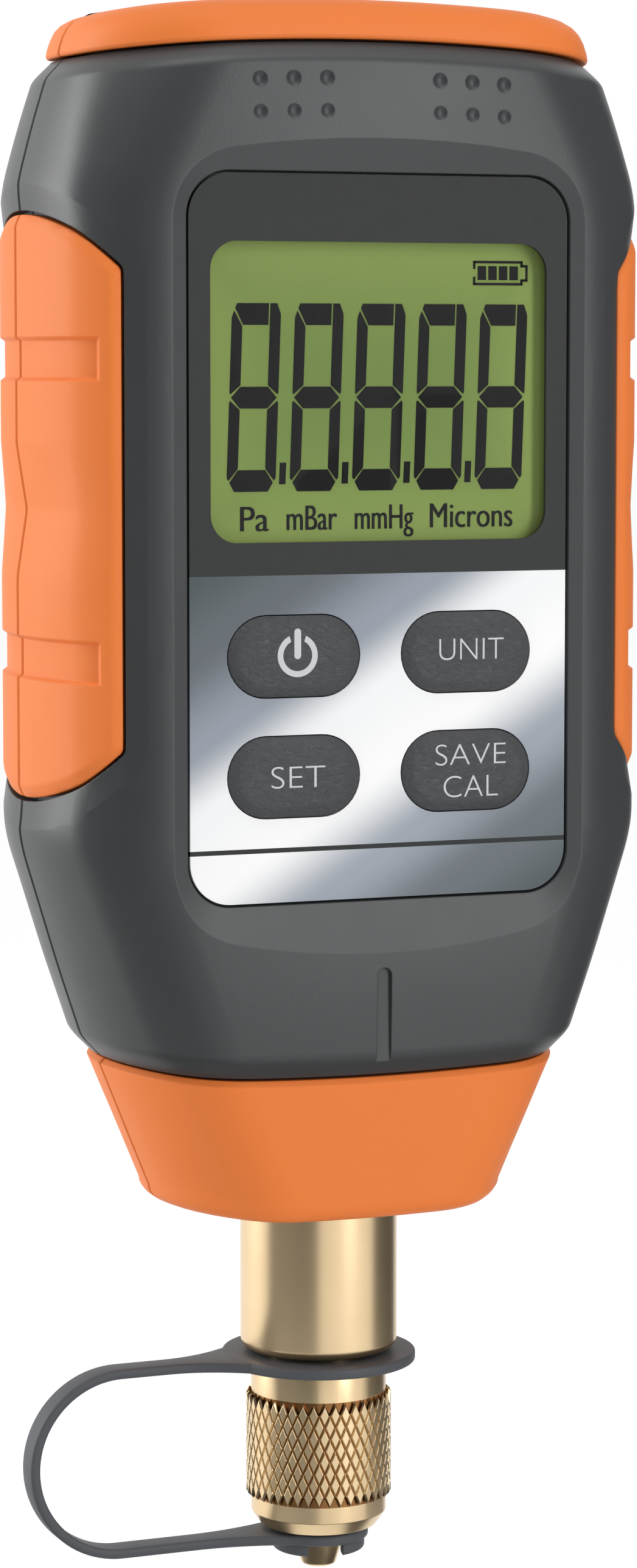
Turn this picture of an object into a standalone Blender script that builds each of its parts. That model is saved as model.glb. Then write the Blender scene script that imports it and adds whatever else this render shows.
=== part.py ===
"""Digital micron vacuum gauge: a hand-held housing over a swivel coupling.

Metres, +Z up. The origin is the centre of the swivel nut's lower face, on the
coupling's axis, and the face of the gauge looks along -Y.
"""
import math

import bmesh
import bpy
from mathutils import Matrix, Vector

MM = 0.001

# Clearances
GAP = 0.3 * MM              # between pieces that touch or nearly touch
SEAM = 0.35 * MM            # parting line between the front and rear halves
OVERCUT = 2.0 * MM          # how far a cutter runs past the face it opens

# Housing: heights are on the centre line, widths at the parting line
CROWN_RADIUS = 450 * MM     # slow curve across the front and the rear face
WAIST_HALF_WIDTH = 34.35 * MM
WAIST_HALF_DEPTH = 18.5 * MM
WAIST_CORNER = 0.5405 * WAIST_HALF_DEPTH
SHELL_BOTTOM = 53.0 * MM
SHELL_TOP = 161.2 * MM
TOP_ARCH = -1 / (2 * 288 * MM)
BOTTOM_ARCH = 1 / (2 * 350 * MM)
SIDE_WALL = 4.0 * MM        # skin, grip pocket and the wall under it
FACE_WALL = 4.2 * MM        # skin, panel pocket and the wall under it
ROOF = 2.2 * MM
NOSE_WALL = 2.0 * MM
NOSE_BOTTOM = 41.3 * MM
NOSE_FLOOR = 2.6 * MM
PLINTH_HEIGHT = 2.4 * MM
OVERMOULD = 2.3 * MM        # thickness of the bumper and the boot

# Bumper and boot
BUMPER_HALF_WIDTH = 0.8472 * WAIST_HALF_WIDTH
BUMPER_HALF_DEPTH = 0.9135 * WAIST_HALF_DEPTH
BUMPER_CORNER = 0.7568 * WAIST_HALF_DEPTH
BUMPER_TOP = 166.0 * MM
BOOT_HALF_WIDTH = 0.7412 * WAIST_HALF_WIDTH
BOOT_HALF_DEPTH = 0.9676 * WAIST_HALF_DEPTH
BOOT_CORNER = 0.5135 * WAIST_HALF_DEPTH
BOOT_TIP_HALF_WIDTH = 0.5793 * WAIST_HALF_WIDTH
BOOT_TIP_HALF_DEPTH = min(0.8973 * WAIST_HALF_DEPTH, 0.85 * BOOT_TIP_HALF_WIDTH)
BOOT_TIP_CORNER = 0.5422 * BOOT_TIP_HALF_DEPTH
BOOT_BOTTOM = 36.95 * MM
BOOT_COLLAR = 0.6 * MM

# Side grips, outlined in the front view by one upright and two 45 degree lines
GRIP_EDGE_X = 0.8297 * WAIST_HALF_WIDTH
GRIP_HIGH_CORNER = 137.7 * MM
GRIP_LOW_CORNER = 88.1 * MM
GRIP_THICK = 1.7 * MM
GRIP_BEVEL = 0.8 * MM
GRIP_BEVEL_DROP = 0.4 * MM
BAND_WIDTH = 2.4 * MM       # sloping band of the cover round each grip
BAND_DROP = 0.4 * MM
PINCH_Z = 112.7 * MM
PINCH_HALF_HEIGHT = 7.0 * MM
PINCH_DEPTH = 1.1 * MM
PINCH_REACH = 0.87 * WAIST_HALF_DEPTH
SLOT_Z = (128.5 * MM, 97.2 * MM)
SLOT_HEIGHT = 4.6 * MM
SLOT_DEPTH = 0.5 * MM
SLOT_REACH = 0.8027 * WAIST_HALF_DEPTH
SLOT_WALL = 0.35 * MM       # run of a slot's sloping edge

# Face panel, display and keys
PANEL_HALF_WIDTH = 0.623 * WAIST_HALF_WIDTH
PANEL_BOTTOM = 71.85 * MM
PANEL_TOP = 147.5 * MM
PANEL_CORNER = 4.5 * MM
PANEL_Y = WAIST_HALF_DEPTH - 1.1 * MM
PANEL_THICK = 0.5 * MM
RECESS_SIDE = 1.65 * MM
RECESS_END = 4.0 * MM
RECESS_RISE = 1.05 * MM
RECESS_Y = PANEL_Y + 0.15 * MM
WINDOW_BORDER = 2.37 * MM
WINDOW_HALF_WIDTH = PANEL_HALF_WIDTH - WINDOW_BORDER
WINDOW_BOTTOM = 109.5 * MM
WINDOW_TOP = 140.6 * MM
WINDOW_CORNER = 3.0 * MM
WINDOW_REVEAL = 0.5 * MM    # the cover's opening is this much larger than the panel's
WINDOW_LEDGE = 1.0 * MM
WINDOW_THICK = 1.0 * MM
KEY_X = 0.2853 * WAIST_HALF_WIDTH
KEY_Z = (97.65 * MM, 85.03 * MM)
KEY_LENGTH = 0.4294 * WAIST_HALF_WIDTH
KEY_HEIGHT = 8.5 * MM
KEY_PROUD = 0.6 * MM
KEY_FLANGE = 0.8 * MM
KEY_TRAVEL = 0.8 * MM

# Display and circuit board
LCD_HALF_WIDTH = WINDOW_HALF_WIDTH + 1.27 * MM
LCD_MARGIN = 5.0 * MM
LCD_THICK = 2.3 * MM
BACKLIGHT_THICK = 2.5 * MM
ZEBRA_HEIGHT = 2.0 * MM
BOARD_BOTTOM = 73.0 * MM
BOARD_TOP = 147.5 * MM
BOARD_THICK = 1.6 * MM
BOARD_POST_R = 2.2 * MM
BOARD_SCREW_X = LCD_HALF_WIDTH + BOARD_POST_R + 0.5 * MM
BOARD_SCREW_Z = (76.5 * MM, 140.0 * MM)
BOARD_HALF_WIDTH = BOARD_SCREW_X + 2.0 * MM
BOARD_SCREW_R = 0.9 * MM
BOARD_SCREW_LENGTH = 5.0 * MM
SWITCH_SIZE = 6.0 * MM
SWITCH_PLUNGER_R = 1.7 * MM
SWITCH_PLUNGER = 0.8 * MM

# Case screws
CASE_SCREWS = ((0.597 * WAIST_HALF_WIDTH, 152.0 * MM), (0.524 * WAIST_HALF_WIDTH, 59.5 * MM))
CASE_POST_R = 3.3 * MM
CASE_SCREW_R = 1.3 * MM
CASE_SCREW_LENGTH = 20.0 * MM
CASE_HEAD_R = 2.6 * MM
CASE_HEAD = 1.8 * MM
CASE_HEAD_DEPTH = 3.0 * MM

# Battery bay: two AA cells side by side
CELL_R = 7.25 * MM
CELL_BODY = 49.2 * MM
CELL_BUTTON = 1.3 * MM
CELL_BUTTON_R = 2.75 * MM
BAY_BOTTOM = 72.0 * MM
BAY_WALL = 1.4 * MM
BAY_FLOOR = 1.2 * MM
PLATE_THICK = 0.4 * MM
SPRING_HEIGHT = 4.2 * MM
SPRING_WIRE_R = 0.35 * MM
SPRING_TURNS = 3
DOOR_SEAT = 2.525 * MM      # from the waist's rear face in to the door's ledge
DOOR_LEDGE = 1.8 * MM
DOOR_TAB = 6.0 * MM         # part of the door below the bay, with its screw
DOOR_SCREW_R = 1.25 * MM
DOOR_SCREW_LENGTH = 8.0 * MM
DOOR_BOSS_R = 2.9 * MM
DOOR_HEAD_R = 2.3 * MM
DOOR_HEAD = 1.0 * MM
DOOR_UNDER_HEAD = 0.9 * MM  # door left under the screw's head

# Coupling, all round the Z axis
BARREL_R = 8.63 * MM
BARREL_TOP = 49.0 * MM
BARREL_NECK_R = 7.0 * MM
STRAP_SEAT_R = 6.1 * MM
STRAP_SEAT_HEIGHT = 1.5 * MM
BORE_R = 1.6 * MM
STEM_THREAD_R = 3.4 * MM
STEM_THREAD = 7.5 * MM
STEM_R = 4.0 * MM
STEM_FLANGE_R = 4.95 * MM
STEM_FLANGE = 2.2 * MM
STEM_SEAT_Z = 8.2 * MM
NUT_HEIGHT = 18.0 * MM
NUT_COLLAR_R = 7.457 * MM
NUT_BORE_R = 5.25 * MM
NUT_KNURL_R = 8.05 * MM
NUT_UPPER_COLLAR = 2.9 * MM
NUT_LOWER_COLLAR = 3.4 * MM
KNURL_DEPTH = 0.35 * MM
KNURL_COUNT = 28
KNURL_ROWS = 3
NUT_RIM_R = 6.3 * MM
RUNNING = 0.15 * MM
GASKET_THICK = 1.1 * MM
DEPRESSOR_R = 0.7 * MM

# Strap and plug
STRAP_RING_R = 10.7 * MM
STRAP_THICK = 1.2 * MM
STRAP_WIDTH = 3.2 * MM
STRAP_BEND_X = -23.5 * MM
STRAP_PLAY = 0.4 * MM       # between the nut's top and the strap's ring
EYE_R = 5.5 * MM
EYE_TOP = -0.3 * MM
EYE_HOLE_R = 2.3 * MM
LUG_R = 5.1 * MM
LUG_HEIGHT = 1.3 * MM
LUG_SLOT = 3.9 * MM
PLUG_TIP_Z = -4.7 * MM
PLUG_TIP_R = 1.93 * MM
PLUG_SHOULDER_R = 2.7 * MM
PLUG_BODY_R = 4.3 * MM
PLUG_FLANGE_R = 4.9 * MM
PLUG_TOP = 5.6 * MM
PLUG_RING_WIRE = 0.55 * MM

# Sensor
SENSOR_POCKET_R = 5.6 * MM
SENSOR_POCKET = 4.0 * MM
SENSOR_R = 4.0 * MM
SENSOR_FLANGE_R = 5.3 * MM
SENSOR_TOP = 57.6 * MM
SENSOR_BOARD = (16.0 * MM, 13.0 * MM, 1.2 * MM)
RIBBON_WIDTH = 8.0 * MM
RIBBON_THICK = 0.35 * MM
RIBBON_TOP = 80.0 * MM

# Heights and depths that follow from the sizes above
PANEL_FLOOR = PANEL_Y - PANEL_THICK - GAP
FRONT_INSIDE = WAIST_HALF_DEPTH - FACE_WALL
LCD_Y = FRONT_INSIDE - LCD_HALF_WIDTH ** 2 / (2 * CROWN_RADIUS) - GAP
BACKLIGHT_Y = LCD_Y - LCD_THICK - GAP
BOARD_Y = BACKLIGHT_Y - BACKLIGHT_THICK - GAP
BOARD_BACK_Y = BOARD_Y - BOARD_THICK
NOSE_INSIDE = NOSE_BOTTOM + NOSE_FLOOR
KEY_REACH_X = KEY_X + KEY_LENGTH / 2 + KEY_FLANGE
KEY_FLANGE_Y = FRONT_INSIDE - KEY_REACH_X ** 2 / (2 * CROWN_RADIUS) - GAP
KEY_BACK_Y = KEY_FLANGE_Y - KEY_FLANGE
SWITCH_TIP_Y = KEY_BACK_Y - KEY_TRAVEL - GAP
CELL_LENGTH = CELL_BODY + CELL_BUTTON
BAY_TOP = BAY_BOTTOM + CELL_LENGTH + SPRING_HEIGHT + 2 * PLATE_THICK + 5 * GAP
CELL_X = CELL_R + GAP / 2
BAY_HALF_WIDTH = CELL_X + CELL_R + GAP
DOOR_LEDGE_Y = WAIST_HALF_DEPTH - DOOR_SEAT
CELL_Y = DOOR_LEDGE_Y - CELL_R
BAY_FLOOR_Y = CELL_Y - CELL_R - GAP
DOOR_HALF_WIDTH = BAY_HALF_WIDTH + DOOR_LEDGE
STRAP_TOP = NUT_HEIGHT + STRAP_PLAY + STRAP_THICK
BARREL_BOTTOM = STRAP_TOP + GAP
STRAP_SEAT_Z = BARREL_BOTTOM - STRAP_SEAT_HEIGHT
EYE_BOTTOM = EYE_TOP - STRAP_THICK


def level(z, half_width, half_depth, corner, arch=0.0):
    """One horizontal section of the housing."""
    return {"z": z, "width": half_width, "depth": half_depth, "corner": corner, "arch": arch}


def offset(rung, grow, grow_depth=None, **changes):
    """The same section moved out (or in, below 0) by the given amounts."""
    grow_depth = grow if grow_depth is None else grow_depth
    moved = dict(rung)
    moved["width"] += grow
    moved["depth"] += grow_depth
    moved["corner"] = max(moved["corner"] + grow, 3.0 * MM)
    moved.update(changes)
    return moved


def shell_levels():
    """Sections of the covers' outer skin, from the boot up to the bumper."""
    # height, then the shares of the waist's half width, half depth and half depth for the corner
    rows = (
        (SHELL_BOTTOM, 0.7394, 0.9405, 0.5135, BOTTOM_ARCH),
        (SHELL_BOTTOM + 2.0 * MM, 0.8012, 1.0, 0.5405, BOTTOM_ARCH),
        (63.0 * MM, 0.869, 1.0135, 0.5405, 0.0),
        (76.3 * MM, 0.9872, 1.0, 0.5405, 0.0),
        (78.8 * MM, 1.0, 1.0, 0.5405, 0.0),
        (PINCH_Z, 1.0, 1.0, 0.5405, 0.0),
        (142.5 * MM, 1.0, 1.0, 0.5405, 0.0),
        (146.6 * MM, 0.993, 1.0, 0.5946, 0.0),
        (153.2 * MM, 0.9418, 0.9946, 0.7027, 0.0),
        (SHELL_TOP - 1.8 * MM, 0.8996, 0.9784, 0.7838, TOP_ARCH),
        (SHELL_TOP, 0.8431, 0.8865, 0.7568, TOP_ARCH),
    )
    return [level(z, wide * WAIST_HALF_WIDTH, deep * WAIST_HALF_DEPTH, corner * WAIST_HALF_DEPTH, arch)
            for z, wide, deep, corner, arch in rows]


def between(low, high, parts):
    """Sections in between two others, so that the loft's faces twist less."""
    return [{key: low[key] + (high[key] - low[key]) * i / parts for key in low} for i in range(1, parts)]


def boot_tip():
    return level(BOOT_BOTTOM + 1.35 * MM, BOOT_TIP_HALF_WIDTH, BOOT_TIP_HALF_DEPTH, BOOT_TIP_CORNER, BOTTOM_ARCH)


def boot_lip():
    return level(SHELL_BOTTOM - 0.9 * MM, BOOT_HALF_WIDTH, BOOT_HALF_DEPTH, BOOT_CORNER, BOTTOM_ARCH)


def boot_levels():
    """Sections of the boot's outer skin, from its rounded rim up to its lip."""
    tip, lip = boot_tip(), boot_lip()
    return [
        offset(tip, -2.3 * MM, z=BOOT_BOTTOM),
        offset(tip, -0.7 * MM, z=BOOT_BOTTOM + 0.45 * MM),
        tip,
        *between(tip, lip, 3),
        lip,
        offset(lip, -0.5 * MM, z=SHELL_BOTTOM - GAP),
    ]


def bumper_levels():
    """Sections of the bumper's outer skin, from its lower edge to its top."""
    edge = level(SHELL_TOP + GAP, BUMPER_HALF_WIDTH, BUMPER_HALF_DEPTH, BUMPER_CORNER, TOP_ARCH)
    return [
        offset(edge, -0.15 * MM),
        offset(edge, 0.0, z=SHELL_TOP + 0.9 * MM),
        offset(edge, -0.75 * MM, -0.45 * MM, z=SHELL_TOP + 2.5 * MM),
        offset(edge, -1.9 * MM, -1.2 * MM, z=BUMPER_TOP - 1.2 * MM),
        offset(edge, -3.4 * MM, -2.6 * MM, z=BUMPER_TOP - 0.35 * MM),
        offset(edge, -6.0 * MM, -5.0 * MM, z=BUMPER_TOP),
    ]


def nose_levels(grow=0.0):
    """Sections of the covers' nose, which the boot is moulded over."""
    tip = offset(boot_tip(), -OVERMOULD + grow, z=NOSE_BOTTOM - grow, arch=0.0)
    root = offset(boot_lip(), -OVERMOULD + grow, z=SHELL_BOTTOM)
    return [tip, *between(tip, root, 3), root]


def plinth_levels(grow=0.0):
    """Sections of the covers' low plinth, which the bumper is moulded over."""
    root = offset(shell_levels()[-1], -OVERMOULD + grow)
    top = offset(root, -0.6 * MM, z=SHELL_TOP + PLINTH_HEIGHT + grow)
    return [root, top]


def cavity_levels():
    """Sections of the space inside the covers."""
    tip, *_, root = nose_levels()
    nose = [offset(tip, -NOSE_WALL, z=NOSE_INSIDE), offset(root, -NOSE_WALL)]
    body = [offset(rung, -SIDE_WALL, -FACE_WALL) for rung in shell_levels()[2:-1]]
    body[-1]["z"] = SHELL_TOP - ROOF
    return nose + body


def corner_circle(rung):
    """Centre of the corner arc that is tangent to the flank and to the crowned face."""
    flank = rung["width"] - rung["corner"]
    crown_centre = CROWN_RADIUS - rung["depth"]
    reach = (CROWN_RADIUS - rung["corner"]) ** 2 - flank ** 2 - crown_centre ** 2
    cy = reach / (2 * crown_centre)
    return math.sqrt(max(flank ** 2 - cy ** 2, 0.0)), cy


def quarter_section(rung, start_y, steps):
    """Points of a quarter section from the flank to the centre of the face.

    The flank is an arc round the axis, the corner an arc tangent to it, and the
    face a very slow arc. steps counts the segments on each of the three.
    """
    cx, cy = corner_circle(rung)
    crown_y = rung["depth"] - CROWN_RADIUS
    first = math.asin(start_y / rung["width"])
    turn = math.atan2(cy, cx)
    face = math.atan2(cx, cy - crown_y)
    points = []
    for i in range(steps[0]):
        angle = first + (turn - first) * i / steps[0]
        points.append((rung["width"] * math.cos(angle), rung["width"] * math.sin(angle)))
    for i in range(steps[1]):
        angle = turn + (math.pi / 2 - face - turn) * i / steps[1]
        points.append((cx + rung["corner"] * math.cos(angle), cy + rung["corner"] * math.sin(angle)))
    for i in range(steps[2] + 1):
        angle = face * (1 - i / steps[2])
        points.append((CROWN_RADIUS * math.sin(angle), crown_y + CROWN_RADIUS * math.cos(angle)))
    return points


def half_ring(rung, side, start_y, steps):
    """Half a section on one side of the seam, from +X to -X. side is -1 at the front."""
    quarter = quarter_section(rung, start_y, steps)
    flat = quarter + [(-x, y) for x, y in reversed(quarter[:-1])]
    return [Vector((x, side * y, rung["z"] + rung["arch"] * x * x)) for x, y in flat]


def loft(rings, closed=True, caps=True):
    """Bridge equal rings of points; closed rings get flat caps unless caps is off."""
    bm = bmesh.new()
    loops = [[bm.verts.new(p) for p in ring] for ring in rings]
    count = len(rings[0])
    for low, high in zip(loops, loops[1:]):
        for i in range(count if closed else count - 1):
            j = (i + 1) % count
            bm.faces.new((low[i], low[j], high[j], high[i]))
    if closed and caps:
        bm.faces.new(list(reversed(loops[0])))
        bm.faces.new(loops[-1])
    bmesh.ops.recalc_face_normals(bm, faces=bm.faces)
    return bm


def strip_cap(bm, chain, back):
    """Close an arched end with narrow flat strips between two chains that share their ends."""
    for i in range(len(chain) - 1):
        corners = [chain[i], chain[i + 1], back[i + 1], back[i]]
        bm.faces.new(sorted(set(corners), key=corners.index))


def half_loft(levels, side, start_y=SEAM / 2, steps=(2, 4, 2)):
    """One half of a closed form, flat along the seam."""
    rings = [half_ring(rung, side, start_y, steps) for rung in levels]
    bm = loft(rings, closed=False)
    bm.verts.ensure_lookup_table()
    count = len(rings[0])
    loops = [bm.verts[i * count:(i + 1) * count] for i in range(len(rings))]
    chords = []
    for loop in (loops[0], loops[-1]):
        chord = [loop[0]] + [bm.verts.new((v.co.x, side * start_y, v.co.z)) for v in loop[1:-1]] + [loop[-1]]
        strip_cap(bm, loop, chord)
        chords.append(chord)
    edge = chords[0] + [loop[-1] for loop in loops[1:]] + chords[1][-2::-1] + [loop[0] for loop in loops[-2:0:-1]]
    bm.faces.new(edge)
    bmesh.ops.recalc_face_normals(bm, faces=bm.faces)
    return bm


def material(name, colour, roughness, metallic=0.0):
    """A Principled material, made once for each name."""
    found = bpy.data.materials.get(name)
    if found:
        return found
    made = bpy.data.materials.new(name)
    made.use_nodes = True
    shader = made.node_tree.nodes["Principled BSDF"]
    shader.inputs["Base Color"].default_value = (*colour, 1.0)
    shader.inputs["Roughness"].default_value = roughness
    shader.inputs["Metallic"].default_value = metallic
    return made


def charcoal():
    return material("charcoal_plastic", (0.085, 0.088, 0.092), 0.45)


def orange():
    return material("orange_rubber", (0.80, 0.20, 0.055), 0.5)


def brass():
    return material("brass", (0.72, 0.60, 0.38), 0.25, 1.0)


def steel():
    return material("steel", (0.62, 0.62, 0.63), 0.3, 1.0)


def black_rubber():
    return material("black_rubber", (0.06, 0.062, 0.066), 0.55)


def board_green():
    return material("circuit_board", (0.03, 0.16, 0.07), 0.5)


def put(name, bm, finish=None, smooth=40):
    """Turn a bmesh into an object; pieces have a material, cutters have none."""
    mesh = bpy.data.meshes.new(name)
    bm.to_mesh(mesh)
    bm.free()
    obj = bpy.data.objects.new(name, mesh)
    if finish:
        bpy.data.collections["micron_vacuum_gauge"].objects.link(obj)
        mesh.materials.append(finish)
        mesh.shade_smooth()
        mesh.set_sharp_from_angle(angle=math.radians(smooth))
    else:
        bpy.data.collections["cutters"].objects.link(obj)
        obj.hide_render = True
        obj.display_type = "WIRE"
    return obj


def apply_modifiers(obj):
    """Replace an object's mesh by its evaluated one."""
    graph = bpy.context.evaluated_depsgraph_get()
    mesh = bpy.data.meshes.new_from_object(obj.evaluated_get(graph))
    mesh.name = obj.name
    obj.modifiers.clear()
    obj.data = mesh


def combine(obj, other, operation):
    """One exact Boolean; the other object is used up."""
    step = obj.modifiers.new(operation.title(), "BOOLEAN")
    step.operation = operation
    step.object = other
    step.solver = "EXACT"
    apply_modifiers(obj)
    bpy.data.objects.remove(other)
    return obj


def cut(obj, *cutters):
    for cutter in cutters:
        combine(obj, cutter, "DIFFERENCE")
    return obj


def join(obj, *others):
    for other in others:
        combine(obj, other, "UNION")
    return obj


def merged(*parts):
    """Several separate forms in one bmesh."""
    bm = bmesh.new()
    for part in parts:
        mesh = bpy.data.meshes.new("part")
        part.to_mesh(mesh)
        part.free()
        bm.from_mesh(mesh)
        bpy.data.meshes.remove(mesh)
    return bm


def box(low, high):
    """A box between two corners."""
    bm = bmesh.new()
    bmesh.ops.create_cube(bm, size=1.0)
    low, high = Vector(low), Vector(high)
    bmesh.ops.scale(bm, vec=high - low, verts=bm.verts)
    bmesh.ops.translate(bm, vec=(low + high) / 2, verts=bm.verts)
    return bm


def rod(radius, start, end, segments=16, end_radius=None):
    """A cylinder or cone between two points."""
    start, end = Vector(start), Vector(end)
    along = end - start
    bm = bmesh.new()
    bmesh.ops.create_cone(bm, cap_ends=True, segments=segments, radius1=radius,
                          radius2=radius if end_radius is None else end_radius, depth=along.length)
    turn = Vector((0, 0, 1)).rotation_difference(along).to_matrix().to_4x4()
    bmesh.ops.transform(bm, matrix=Matrix.Translation((start + end) / 2) @ turn, verts=bm.verts)
    return bm


def turned(profile, segments):
    """Spin a profile of (radius, z) points round the Z axis; it starts and ends on the axis or is closed."""
    bm = bmesh.new()
    points = [bm.verts.new((radius, 0.0, z)) for radius, z in profile]
    edges = [bm.edges.new(pair) for pair in zip(points, points[1:])]
    if profile[0][0] > 0:
        edges.append(bm.edges.new((points[-1], points[0])))
    bmesh.ops.spin(bm, geom=points + edges, cent=(0, 0, 0), axis=(0, 0, 1), angle=2 * math.pi,
                   steps=segments, use_merge=True)
    bmesh.ops.remove_doubles(bm, verts=bm.verts, dist=1e-7)
    bmesh.ops.recalc_face_normals(bm, faces=bm.faces)
    return bm


def rounded_rectangle(half_width, low, high, corner, steps=4):
    """Outline points (x, z), counter-clockwise seen from the front."""
    centres = ((half_width - corner, high - corner, 0), (corner - half_width, high - corner, 90),
               (corner - half_width, low + corner, 180), (half_width - corner, low + corner, 270))
    points = []
    for cx, cz, first in centres:
        for i in range(steps + 1):
            angle = math.radians(first + 90 * i / steps)
            points.append((cx + corner * math.cos(angle), cz + corner * math.sin(angle)))
    return points


def stadium(cx, cz, length, height, steps=5):
    """Outline points of a key: two half circles and the straight runs between."""
    radius = height / 2
    reach = length / 2 - radius
    points = []
    for side, first in ((1, -90), (-1, 90)):
        for i in range(steps + 1):
            angle = math.radians(first + 180 * i / steps)
            points.append((cx + side * reach + radius * math.cos(angle), cz + radius * math.sin(angle)))
    return points


def prism(outline, y_front, y_back):
    """An outline in the front view made solid between two depths."""
    return loft([[Vector((x, y, z)) for x, z in outline] for y in (y_front, y_back)])


def side_outline(grow):
    """The three lines of a grip's outline, as planes: a point on each and its outward normal."""
    tilt = math.sqrt(0.5)
    return (
        (Vector((GRIP_EDGE_X - grow, 0, 0)), Vector((-1, 0, 0))),
        (Vector((GRIP_EDGE_X, 0, GRIP_HIGH_CORNER)) + grow * Vector((-tilt, 0, tilt)), Vector((-tilt, 0, tilt))),
        (Vector((GRIP_EDGE_X, 0, GRIP_LOW_CORNER)) - grow * Vector((tilt, 0, tilt)), Vector((-tilt, 0, -tilt))),
    )


def inside_outline(point, grow):
    """How far a point on either side lies inside the grip's outline."""
    flat = Vector((abs(point.x), 0, point.z))
    return min((origin - flat).dot(normal) for origin, normal in side_outline(grow))


def section_normal(point):
    """Outward direction of the waist section at a point of the skin."""
    rung = level(0.0, WAIST_HALF_WIDTH, WAIST_HALF_DEPTH, WAIST_CORNER)
    cx, cy = corner_circle(rung)
    x, y = abs(point.x), abs(point.y)
    if math.atan2(y, x) < math.atan2(cy, cx):
        normal = Vector((x, y, 0))
    else:
        normal = Vector((max(x - cx, 0.0), max(y - cy, 1e-6), 0))
    return Vector((math.copysign(normal.x, point.x), math.copysign(normal.y, point.y), 0)).normalized()


def score(bm, origin, normal, faces=None):
    """Cut edges into a surface along a plane without removing anything."""
    faces = list(bm.faces) if faces is None else faces
    edges = {e for f in faces for e in f.edges}
    verts = {v for f in faces for v in f.verts}
    bmesh.ops.bisect_plane(bm, geom=list(verts) + list(edges) + faces, dist=1e-7,
                           plane_co=origin, plane_no=normal)


def mirrored_plane(plane, side):
    """The same plane on the left (side -1) or the right (side 1)."""
    origin, normal = plane
    return Vector((side * origin.x, origin.y, origin.z)), Vector((side * normal.x, normal.y, normal.z))


def sink_bands(bm, seam_y):
    """Score the sloping bands round both grips into a cover and press them in."""
    def skin():
        return [f for f in bm.faces if abs(f.calc_center_median().y - seam_y) > 1e-6]
    for side in (-1, 1):
        for grow in (BAND_WIDTH, 0.0):
            for plane in side_outline(grow):
                near = [f for f in skin() if side * f.calc_center_median().x > 0.6 * GRIP_EDGE_X]
                score(bm, *mirrored_plane(plane, side), faces=near)
    for vert in bm.verts:
        if abs(vert.co.x) < GRIP_EDGE_X - BAND_WIDTH - 1e-6:
            continue
        depth = inside_outline(vert.co, BAND_WIDTH)
        if depth > 1e-6 and any(abs(f.calc_center_median().y - seam_y) > 1e-6 for f in vert.link_faces):
            vert.co -= section_normal(vert.co) * BAND_DROP * min(depth / BAND_WIDTH, 1.0)


def side_skin(side, grow):
    """Open surface of the waist under one grip, front and rear, trimmed to the outline."""
    steps = (2, 5, 1)
    rung = level(0.0, WAIST_HALF_WIDTH, WAIST_HALF_DEPTH, WAIST_CORNER)
    quarter = quarter_section(rung, 0.0, steps)[:-1]
    strip = [(side * x, -y) for x, y in reversed(quarter[1:])] + [(side * x, y) for x, y in quarter]
    low, high = GRIP_LOW_CORNER - 9 * MM, GRIP_HIGH_CORNER + 9 * MM
    heights = [low, PINCH_Z - PINCH_HALF_HEIGHT, PINCH_Z, PINCH_Z + PINCH_HALF_HEIGHT, high]
    bm = loft([[Vector((x, y, z)) for x, y in strip] for z in heights], closed=False)
    if bm.faces[0].normal.x * side < 0:
        bmesh.ops.reverse_faces(bm, faces=bm.faces)
    for plane in side_outline(grow):
        origin, normal = mirrored_plane(plane, side)
        bmesh.ops.bisect_plane(bm, geom=list(bm.verts) + list(bm.edges) + list(bm.faces), dist=1e-7,
                               plane_co=origin, plane_no=normal, clear_outer=True)
    return bm


def solidified(name, bm, thickness, outward=0.0, finish=None):
    """Give an open surface a thickness, most of it inwards."""
    obj = put(name, bm, finish)
    step = obj.modifiers.new("Wall", "SOLIDIFY")
    step.thickness = thickness
    step.offset = -1 + 2 * outward / thickness
    step.use_even_offset = True
    apply_modifiers(obj)
    return obj


def grip_pocket(side):
    """Cutter for the pocket that a pair of grip halves lies in."""
    deep = GRIP_THICK + GAP
    return solidified("grip_pocket", side_skin(side, GAP), deep + OVERCUT, OVERCUT)


def pinch_at(point):
    """Depth of the finger pinch: a wide V across the grip that fades towards its edges."""
    up = max(0.0, 1 - abs(point.z - PINCH_Z) / PINCH_HALF_HEIGHT)
    return PINCH_DEPTH * up * max(0.0, math.cos(math.pi / 2 * min(abs(point.y) / PINCH_REACH, 1.0)))


def clip(bm, origin, normal, keep_below=True):
    """Cut a surface along a plane and throw one side away."""
    bmesh.ops.bisect_plane(bm, geom=list(bm.verts) + list(bm.edges) + list(bm.faces), dist=1e-7,
                           plane_co=origin, plane_no=normal, clear_outer=keep_below, clear_inner=not keep_below)


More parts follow.
